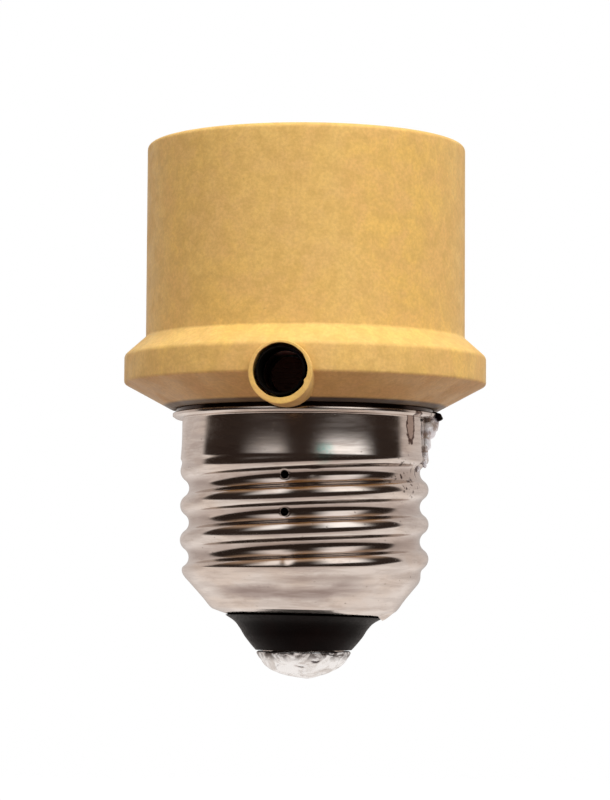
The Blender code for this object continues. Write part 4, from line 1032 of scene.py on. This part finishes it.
def make_screw_shell(material):
    """Rolled sheet: flared rim, collar, round thread, cone, and a lip turned in under the insulator."""
    outline = shell_outline()
    angle = shell_angles()
    height = outline[:, 1:]
    radius = outline[:, :1] - male_thread(angle, height)
    radius = dented(radius, angle, height) + waviness(angle, height, WAVE_SIZE, WAVE_DEPTH)
    seam = hump((angle - SEAM_TURN) * SHELL_RADIUS, SEAM_WIDTH)
    radius = radius - SEAM_DEPTH * seam * eased(SEAM_FOOT - 0.0005, SEAM_FOOT + 0.0005, height)
    down_cone = np.clip((Z_THREAD_BOTTOM - height) / CONE_HEIGHT, 0.0, 1.0)
    at_lip = eased(Z_LIP, Z_LIP + 0.0007, Z_LIP + (1 - down_cone) * CONE_HEIGHT)
    burr = (1 - at_lip) * hump((angle - BURR_TURN) * LIP_RADIUS, BURR_WIDTH)
    height = height + LIP_TILT * np.cos(angle - LIP_TILT_TURN) * down_cone**2 - BURR_DEPTH * burr
    mesh = grid_mesh("rolled_screw_shell", round_grid(radius + BURR_REACH * burr, angle, height))
    item = thickened(object_of(edited(mesh, cut_notch)), -1.0)
    return piece(item, "screw_shell", material, sharp=SHEET_SHARP_ANGLE)


def cut_notch(shape):
    """Opens the rim where the neutral wire comes over it."""
    away = []
    for face in shape.faces:
        x, y, z = face.calc_center_median()
        if x > 0 and abs(y) < NOTCH_WIDTH / 2 and z > Z_RIM - NOTCH_FOOT:
            away.append(face)
    bmesh.ops.delete(shape, geom=away, context="FACES")


def make_insulator(material):
    """Moulded cone that closes the screw shell, with a soft edge and a little flash."""
    top = INSULATOR_HIGH[2]
    bottom = INSULATOR_LOW[2]
    groove = LIP_RADIUS - 2 * FIT
    seat = groove + INSULATOR_SEAT_WIDTH
    z_lip_top = Z_LIP + SHEET + FIT
    z_seat = z_lip_top + seat - LIP_RADIUS
    nose_width = LIP_RADIUS + NOSE_OVERHANG - NOSE_TIP_RADIUS
    z_nose = Z_LIP + NOSE_EDGE_HEIGHT
    rise = z_nose - bottom
    nose = [(NOSE_TIP_RADIUS + across * nose_width, bottom + up * rise) for up, across in NOSE_CURVE_SHARES]
    outer = [(seat, top), (seat, z_seat), (LIP_RADIUS + FIT, z_lip_top + FIT), (groove, z_lip_top), (groove, z_nose)]
    inner = [
        (BOSS_BORE_RADIUS, bottom),
        (BOSS_BORE_RADIUS, BOSS_TOP),
        (BOSS_RADIUS, BOSS_TOP),
        (BOSS_RADIUS, INSULATOR_FLOOR),
        (groove - INSULATOR_WALL, INSULATOR_FLOOR),
        (seat - INSULATOR_WALL, z_seat + INSULATOR_WALL),
        (seat - INSULATOR_WALL, top),
    ]
    outline = divided([*outer, *reversed(smooth_route(nose, 5)), *inner], 0.0006)
    mesh = turned("insulator_cone", outline, 160)
    for vertex in mesh.vertices:
        place = vertex.co
        share = 1 + 0.006 * noise.noise(place / 0.0018)
        if place.z < Z_LIP + FIT and math.hypot(place.x, place.y) > 0.0045:
            place.x *= share
            place.y *= share
            up_nose = min((place.z - bottom) / rise, 1.0)
            place.z += LIP_TILT * math.cos(math.atan2(place.y, place.x) - LIP_TILT_TURN) * up_nose**2
    return piece(object_of(mesh), "base_insulator", material)


def make_tip(nickel, solder):
    """The eyelet clinched over the insulator's boss, and the lump of solder that closes it."""
    z_flange = INSULATOR_LOW[2] - GLUE_LINE
    z_end = EYELET_HIGH[2]
    z_low = EYELET_LOW[2]
    radius = EYELET_RADII
    section = rounded(
        (radius["clinch"], z_end, 0.00015),
        (radius["clinch"], z_end - EYELET_CLINCH),
        (radius["shank"], z_end - EYELET_CLINCH),
        (radius["shank"], z_flange),
        (radius["flange"], z_flange),
        (radius["flange"], z_flange - EYELET_EDGE_DROP, EYELET_EDGE_ROUND),
        (radius["edge"], z_low, EYELET_EDGE_ROUND),
        (radius["bore"], z_low),
        (radius["bore"], z_end, 0.0002),
    )
    eyelet = turned("tip_eyelet", divided(section, 0.0005), 128)
    piece(object_of(eyelet), "tip_contact", nickel)
    piece(object_of(solder_dome()), "tip_solder", solder)


def solder_dome():
    """Solder that covers the eyelet's edge and ends in a dome, with the lumps and creases it set in."""
    floor = EYELET_LOW[2] - GLUE_LINE
    lip = INSULATOR_LOW[2] - SKIRT_DROP
    inner = [(across, floor) for across in (0.0, 0.0016, 0.0032, SKIRT_RADIUS)] + [(SKIRT_RADIUS, lip)]
    outer = [(across, lip + up) for across, up in SKIRT_LIP] + [(across, up) for up, across in reversed(DOME_CURVE)]
    mesh = turned("tip_solder_dome", [*inner, *smooth_route(outer, 6)], 160, closed=False)
    for vertex in mesh.vertices:
        place = vertex.co
        if math.hypot(place.x, place.y) < SKIRT_RADIUS + FIT / 10 and place.z > floor - FIT / 10:
            continue
        lump = noise.fractal(place / 0.0024, 0.9, 2.1, 4)
        crease = abs(noise.noise(place / 0.0021 + Vector((4.0, 0.0, 0.0))))
        depth = LUMP_DEPTH * lump - CREASE_DEPTH * max(0.0, CREASE_SHARE - crease) / CREASE_SHARE
        outward = Vector((place.x, place.y, place.z - floor)).normalized()
        place += outward * (depth - 0.00003) * float(eased(0.0, 0.0004, lip + 0.0001 - place.z))
        place.z = max(place.z, TIP_LOW[2])
    return mesh


def make_side_solder(material):
    """Drop of solder over the neutral wire's end, with a run down the collar."""
    lumps = []
    for turn, z_place, width, height, depth in SOLDER_LUMPS:
        turn = math.radians(turn)
        radius = SHELL_RADIUS - float(male_thread(turn, z_place))
        lumps.append(lump_mesh((radius * math.cos(turn), radius * math.sin(turn), z_place), (depth, width, height)))
    item = object_of(joined("side_solder_blob", lumps))
    remesh = item.modifiers.new("Union", "REMESH")
    remesh.mode = "VOXEL"
    remesh.voxel_size = SOLDER_VOXEL
    item.modifiers.new("Flow", "SMOOTH").iterations = 6
    applied(item)
    for vertex in item.data.vertices:
        place = vertex.co
        across = Vector((place.x, place.y, 0.0)).normalized()
        place += across * SOLDER_UNEVEN * noise.fractal(place / 0.0009 + Vector((2.0, 7.0, 1.0)), 0.8, 2.0, 4)
        thread = float(male_thread(math.atan2(place.y, place.x), place.z))
        inside = SHELL_RADIUS - COLLAR_WAIST - thread - math.hypot(place.x, place.y)
        place += across * max(inside, 0.0)
    return piece(item, "side_solder", material)


def make_neutral_wire(material):
    """From the board down the neck, round its end, up its slot and out over the screw shell's rim."""
    radius = WIRE_RADIUS
    outer = NECK_RADIUS - radius
    inner = NECK_BORE_RADIUS - WIRE_FROM_BORE
    z_end = Z_RIM - WIRE_UNDER_RIM
    bend = (outer - inner) / 2
    z_bend = HOUSING_LOW[2] - FIT - radius + bend
    half_turn = [math.pi * (1 + step / 12) for step in range(13)]
    route = [(inner, BOARD_HIGH[2] + WIRE_ABOVE_BOARD)]
    route += [(inner + bend + bend * math.cos(a), z_bend + 2 * bend * math.sin(a)) for a in half_turn]
    route += [
        (outer, z_end - 2 * radius),
        (outer + radius / 2, z_end - radius / 2),
        (outer + 2 * radius, z_end),
        (RIM_RADIUS - radius / 2, z_end),
        (RIM_RADIUS + 0.6 * radius, z_end - 0.35 * radius),
        (RIM_RADIUS + radius, z_end - 1.3 * radius),
    ]
    mesh = wire_mesh("neutral_wire_end", [(across, 0.0, up) for across, up in route], radius, 20)
    return piece(object_of(mesh), "neutral_wire", material)


def rivet_places():
    """Where the centre contact's rivet and the socket shell's rivet stand."""
    places = []
    for node in ("contact_rivet", "shell_rivet"):
        low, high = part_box(node)
        places.append(((low[0] + high[0]) / 2, (low[1] + high[1]) / 2))
    return places


def rivet_hole(place, low, high):
    """What a rivet's hole takes away between two heights."""
    return bar_mesh(RIVET_HOLE_RADIUS, (*place, low), (*place, high), 32)


def make_insert(material):
    """Moulded cup that holds the lamp's contacts, with a well under the centre contact."""
    well_outer = WELL_RADIUS + WELL_WALL
    under = INSERT_LOW[2]
    top = INSERT_HIGH[2]
    section = rounded(
        (0.0, Z_WELL_FLOOR),
        (WELL_RADIUS, Z_WELL_FLOOR, WELL_ROUND),
        (WELL_RADIUS, Z_SHOULDER_TOP, INSERT_SHOULDER_ROUND),
        (INSERT_BORE_RADIUS, Z_SHOULDER_TOP, INSERT_ROUND),
        (INSERT_BORE_RADIUS, top, INSERT_ROUND),
        (INSERT_RADIUS, top, INSERT_ROUND),
        (INSERT_RADIUS, Z_SHOULDER, INSERT_SHOULDER_ROUND),
        (well_outer, Z_SHOULDER),
        (well_outer, under, INSERT_ROUND),
        (0.0, under),
    )
    item = object_of(turned("insert_cup", divided(section, 0.0012, closed=False), 160, closed=False))
    contact, shell = rivet_places()
    carved(
        item,
        "DIFFERENCE",
        rivet_hole(contact, under - OVERRUN, Z_WELL_FLOOR + OVERRUN),
        rivet_hole(shell, Z_SHOULDER - OVERRUN, Z_SHOULDER_TOP + OVERRUN),
    )
    return piece(item, "socket_insert", material)


def make_socket_shell(material):
    """Rolled sheet that the lamp screws into, with a foot turned in over the insert's shoulder."""
    z_foot = SOCKET_LOW[2] + SHEET
    z_top = SOCKET_HIGH[2]
    z_start = z_top - SOCKET_PLAIN_TOP
    z_stop = z_foot + SOCKET_PLAIN_FOOT
    rows = 20 * math.ceil((z_start - z_stop) / THREAD_PITCH)
    foot = rounded(
        (SOCKET_RADIUS, z_stop),
        (SOCKET_RADIUS, z_foot, SOCKET_FOOT_ROUND),
        (WELL_RADIUS + SOCKET_FOOT_MARGIN, z_foot),
    )[1:]
    heights = [*np.linspace(z_top, z_start, 5), *np.linspace(z_start, z_stop, rows + 1)[1:]]
    outline = [(SOCKET_RADIUS, z) for z in heights]
    outline = np.array([*outline, *[tuple(point) for point in divided(foot, 0.0006, closed=False)]])
    angle = np.linspace(0.0, math.tau, 200, endpoint=False)
    height = outline[:, 1:]
    fades = (z_stop, z_stop + SOCKET_FADE), (z_start - SOCKET_FADE, z_start)
    radius = outline[:, :1] - pressed(angle, height, z_start, 0.0, *fades)
    item = thickened(object_of(grid_mesh("socket_screw_shell", round_grid(radius, angle, height))), 1.0)
    carved(item, "DIFFERENCE", rivet_hole(rivet_places()[1], z_foot - OVERRUN, z_foot + OVERRUN))
    return piece(item, "socket_shell", material, sharp=SHEET_SHARP_ANGLE)


def make_leaf(material):
    """Springy brass leaf with rounded corners, bent up from its riveted foot to touch the lamp's tip."""
    foot = LEAF_FOOT_LENGTH
    length = LEAF_HIGH[0] - LEAF_LOW[0]
    rise = LEAF_HIGH[2] - LEAF_LOW[2] - SHEET
    slope_end = foot + (length - foot) * LEAF_SLOPE_SHARE
    bends = ((foot, 0.0, LEAF_BEND_ROUND), (slope_end, rise, LEAF_BEND_ROUND))
    path = divided(rounded((0.0, 0.0), *bends, (length, rise - LEAF_TIP_DROP), arc_steps=8), 0.0003, closed=False)
    columns = 17
    across = np.linspace(-1.0, 1.0, columns)
    half_width = (LEAF_HIGH[1] - LEAF_LOW[1]) / 2
    run = np.concatenate([[0.0], np.cumsum([(b - a).length for a, b in zip(path, path[1:])])])
    points = []
    for point, along in zip(path, run):
        near = min(along, run[-1] - along)
        corner = LEAF_CORNERS[along > run[-1] / 2]
        inset = corner - math.sqrt(max(corner**2 - max(corner - near, 0.0) ** 2, 0.0))
        points += [(LEAF_LOW[0] + point.x, share * (half_width - inset), point.y) for share in across]
    starts = [row * columns + column for row in range(len(path) - 1) for column in range(columns - 1)]
    mesh = bpy.data.meshes.new("contact_leaf")
    mesh.from_pydata(points, [], [(i, i + 1, i + columns + 1, i + columns) for i in starts])
    mesh.transform(Matrix.Translation((0.0, 0.0, LEAF_LOW[2] + SHEET / 2)))
    item = thickened(object_of(mesh), 0.0)
    carved(item, "DIFFERENCE", rivet_hole(rivet_places()[0], LEAF_LOW[2] - FIT, LEAF_LOW[2] + SHEET + FIT))
    return piece(item, "center_contact", material, body="contact")


def make_rivet(name, node, place, material):
    """Domed head, shank and clinched tail."""
    low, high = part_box(node)
    z_head = high[2] - RIVET_HEAD_THICKNESS
    z_tail = low[2] + RIVET_TAIL_THICKNESS
    section = rounded(
        (0.0, high[2]),
        (RIVET_HEAD_RADIUS, high[2], 0.0005),
        (RIVET_HEAD_RADIUS, z_head, 0.0001),
        (RIVET_SHANK_RADIUS, z_head),
        (RIVET_SHANK_RADIUS, z_tail),
        (RIVET_TAIL_RADIUS, z_tail),
        (RIVET_TAIL_RADIUS, low[2], 0.0003),
        (0.0, low[2]),
    )
    mesh = turned(name, section, 48, closed=False)
    mesh.transform(Matrix.Translation((*place, 0.0)))
    return piece(object_of(mesh), node, material)


def repaint(materials):
    """Gives each remaining CAD node its finish."""
    for node, material in materials.items():
        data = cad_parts[node].data
        data.materials.clear()
        data.materials.append(material)


def make_pieces():
    nickel = nickel_plate()
    tip_solder = tin_solder("tip_solder", 0.92, (0.22, 0.42), (0.74, 0.72, 0.70))
    side_solder = tin_solder("side_solder", 0.30, (0.36, 0.56), (0.44, 0.35, 0.29))
    brass = rolled_brass()
    dark, less_dark = (0.0020, 0.0006, 0.0004), (0.0050, 0.0020, 0.0015)
    black = common_finish("black_phenolic", dark, less_dark, 0.40, grain=0.0003, specular=0.04)
    dark, less_dark = (0.002, 0.0018, 0.0016), (0.005, 0.004, 0.003)
    sleeve = common_finish("black_sleeve", dark, less_dark, 0.8, depth=0.00001, specular=0.03)
    ceramic = common_finish("photocell_ceramic", (0.16, 0.065, 0.035), (0.10, 0.04, 0.022), 0.45, specular=0.1)
    make_housing(moulded_plastic())
    make_shield(sleeve)
    make_photocell(ceramic)
    make_screw_shell(nickel)
    make_insulator(black)
    make_tip(nickel, tip_solder)
    make_side_solder(side_solder)
    make_neutral_wire(burnt_wire())
    make_insert(common_finish("white_liner", (0.72, 0.69, 0.62), (0.66, 0.62, 0.54), 0.42, grain=0.0005))
    make_socket_shell(brass)
    make_leaf(brass)
    contact, shell = rivet_places()
    make_rivet("leaf_rivet", "contact_rivet", contact, brass)
    make_rivet("socket_rivet", "shell_rivet", shell, brass)
    resistor = common_finish("resistor_coating", (0.57, 0.42, 0.22), (0.50, 0.36, 0.18), 0.4)
    repaint(
        {
            "circuit_board": board_laminate(),
            "triac": black,
            "rectifier": black,
            "diac": common_finish("diac_body", (0.03, 0.08, 0.32), (0.02, 0.05, 0.24), 0.2),
            "timing_capacitor": common_finish("capacitor_sleeve", (0.006, 0.01, 0.05), (0.01, 0.015, 0.07), 0.25),
            "dropper_resistor": resistor,
            "gate_resistor": resistor,
            "hot_wire": sleeve,
            "load_wire": common_finish("red_sleeve", (0.38, 0.01, 0.006), (0.30, 0.008, 0.005), 0.45),
            "shell_wire": common_finish("white_sleeve", (0.75, 0.75, 0.72), (0.68, 0.67, 0.63), 0.45),
        }
    )


def aimed(turn, elevation=0.0):
    """The direction at that turn from the camera and that elevation."""
    turn += CAMERA_TURN
    flat = math.cos(elevation)
    return Vector((math.sin(turn) * flat, -math.cos(turn) * flat, math.sin(elevation)))


def make_camera():
    """The photograph's view, from a little below the flange and right of the sensor tube."""
    data = bpy.data.cameras.new("camera")
    data.sensor_width = SENSOR_MM
    data.lens = FOCAL_PX * SENSOR_MM / FRAME_HEIGHT_PX
    data.clip_start = 0.01
    data.clip_end = 20.0
    camera = bpy.data.objects.new("camera", data)
    bpy.context.scene.collection.objects.link(camera)
    place = CAMERA_DISTANCE * aimed(0.0) + Vector((0.0, 0.0, CAMERA_HEIGHT))
    right = aimed(math.pi / 2)
    forward = (Vector((0.0, 0.0, AIM_HEIGHT)) - place).normalized()
    rolled = Matrix.Rotation(-CAMERA_ROLL, 3, forward)
    axes = Matrix((rolled @ right, rolled @ right.cross(forward), -forward)).transposed()
    camera.matrix_world = Matrix.Translation(place) @ axes.to_4x4()
    bpy.context.scene.camera = camera


def make_world():
    """White paper behind, and the darker room with two soft boxes that the metal mirrors."""
    world = bpy.data.worlds.new("studio")
    bpy.context.scene.world = world
    world.use_nodes = True
    s = Shade(world.node_tree)
    s.tree.nodes.clear()
    path = s.add("ShaderNodeLightPath").outputs
    sharp = s.maths("MAXIMUM", path["Is Glossy Ray"], path["Is Transmission Ray"])
    mirrored, fill = room_colours(s)
    seen = s.blended(path["Is Camera Ray"], s.blended(sharp, fill, mirrored), WHITE)
    background = s.add("ShaderNodeBackground", {"Color": seen, "Strength": 1.0})
    s.plug(background.outputs[0], s.add("ShaderNodeOutputWorld").inputs[0])


def room_colours(s):
    """What the metal mirrors of the room, and the plain light that the room gives."""
    ray = s.add("ShaderNodeTexCoord").outputs["Generated"]
    ray = s.add("ShaderNodeMapping", {"Vector": ray, "Rotation": (0.0, 0.0, -CAMERA_TURN)}).outputs[0]
    x, y, z = s.add("ShaderNodeSeparateXYZ", {0: ray}).outputs
    toward = s.times(y, -1.0)
    azimuth = s.maths("DEGREES", s.maths("ARCTAN2", x, toward))
    elevation = s.maths("DEGREES", s.maths("ARCSINE", z))
    aside = s.maths("ABSOLUTE", s.plus(azimuth, -PAPER_TURN))

    left_box, right_box = [
        s.times(s.between(azimuth, *across), s.between(elevation, *up)) for across, up in (LEFT_BOX, RIGHT_BOX)
    ]
    left_level = s.blended(s.scaled(elevation, 8.0, 24.0), (0.40, 0.37, 0.35), (1.28, 1.24, 1.21))
    table = s.scaled(s.plus(z, s.times(toward, TABLE_EDGE_SLOPE)), -0.20, -0.06, 1.0, 0.0)
    table_colour = s.blended(s.scaled(toward, 0.0, 0.65), (0.97, 0.900, 0.850), (0.66, 0.575, 0.530))
    paper = s.blended(s.scaled(aside, 150.0, 176.0, 1.0, 0.55), (0.40, 0.370, 0.355), (0.72, 0.650, 0.610))
    paper = s.blended(s.scaled(elevation, -28.0, -4.0, 1.0, 0.0), paper, (0.97, 0.905, 0.860))

    colour = s.blended(s.scaled(elevation, 28.0, 56.0), (0.034, 0.023, 0.018), (0.50, 0.355, 0.250))
    colour = s.blended(s.scaled(elevation, 76.0, 86.0), colour, (0.55, 0.41, 0.30))
    colour = s.blended(left_box, colour, left_level)
    colour = s.blended(right_box, colour, (1.42, 1.39, 1.36))
    colour = s.blended(table, colour, table_colour)
    colour = s.blended(s.scaled(aside, 101.0, 109.0), colour, paper)
    return colour, s.blended(s.scaled(elevation, -40.0, 60.0), (0.12, 0.092, 0.105), (0.60, 0.60, 0.595))


def add_lamp(name, turn, elevation, size, power, colour):
    """A soft box that lights the plastic, aimed at the flange."""
    data = bpy.data.lights.new(name, "AREA")
    data.shape = "RECTANGLE"
    data.size, data.size_y = size
    data.energy = power
    data.color = colour
    lamp = bpy.data.objects.new(name, data)
    bpy.context.scene.collection.objects.link(lamp)
    outward = aimed(math.radians(turn), math.radians(elevation))
    lamp.location = Vector((0.0, 0.0, Z_FLANGE)) + outward * LAMP_DISTANCE
    lamp.rotation_euler = (-outward).to_track_quat("-Z", "Y").to_euler()
    lamp.visible_glossy = False
    lamp.visible_camera = False


def make_floor():
    """Pale floor below the tip that fades out to the white paper and keeps the soft shadow, clear from below."""
    mesh = turned("floor", [(share * FLOOR_RADIUS, FLOOR_HEIGHT) for share in (0.0, 0.5, 1.0)], 64, closed=False)
    if mesh.polygons[0].normal.z < 0:
        mesh.flip_normals()
    item = object_of(mesh)
    s = Finish("floor")
    seen = s.add("ShaderNodeLightPath").outputs["Is Camera Ray"]
    colour = s.blended(seen, (0.28, 0.195, 0.215), (0.42, 0.42, 0.415))
    s.made(colour, 0.9, [], {"Specular IOR Level": 0.0})
    lift = s.add("ShaderNodeEmission", {"Strength": s.times(seen, 0.62)})
    lit = s.add("ShaderNodeAddShader", {0: s.shader.outputs[0], 1: lift.outputs[0]})
    reach = s.add("ShaderNodeVectorMath", {0: s.place()}, operation="LENGTH").outputs["Value"]
    gone = s.scaled(reach, FLOOR_RADIUS * 0.35, FLOOR_RADIUS * 0.95)
    gone = s.maths("MAXIMUM", gone, s.add("ShaderNodeNewGeometry").outputs["Backfacing"])
    clear = s.add("ShaderNodeBsdfTransparent").outputs[0]
    mix = s.add("ShaderNodeMixShader", {0: gone, 1: lit.outputs[0], 2: clear})
    s.plug(mix.outputs[0], s.tree.nodes["Material Output"].inputs["Surface"])
    item.data.materials.append(s.material)
    item.visible_glossy = False


def make_studio():
    make_camera()
    make_world()
    for lamp in LAMPS:
        add_lamp(*lamp)
    make_floor()
    bpy.context.scene.view_settings.view_transform = "Standard"


make_studio()
make_pieces()
bpy.context.view_layer.update()
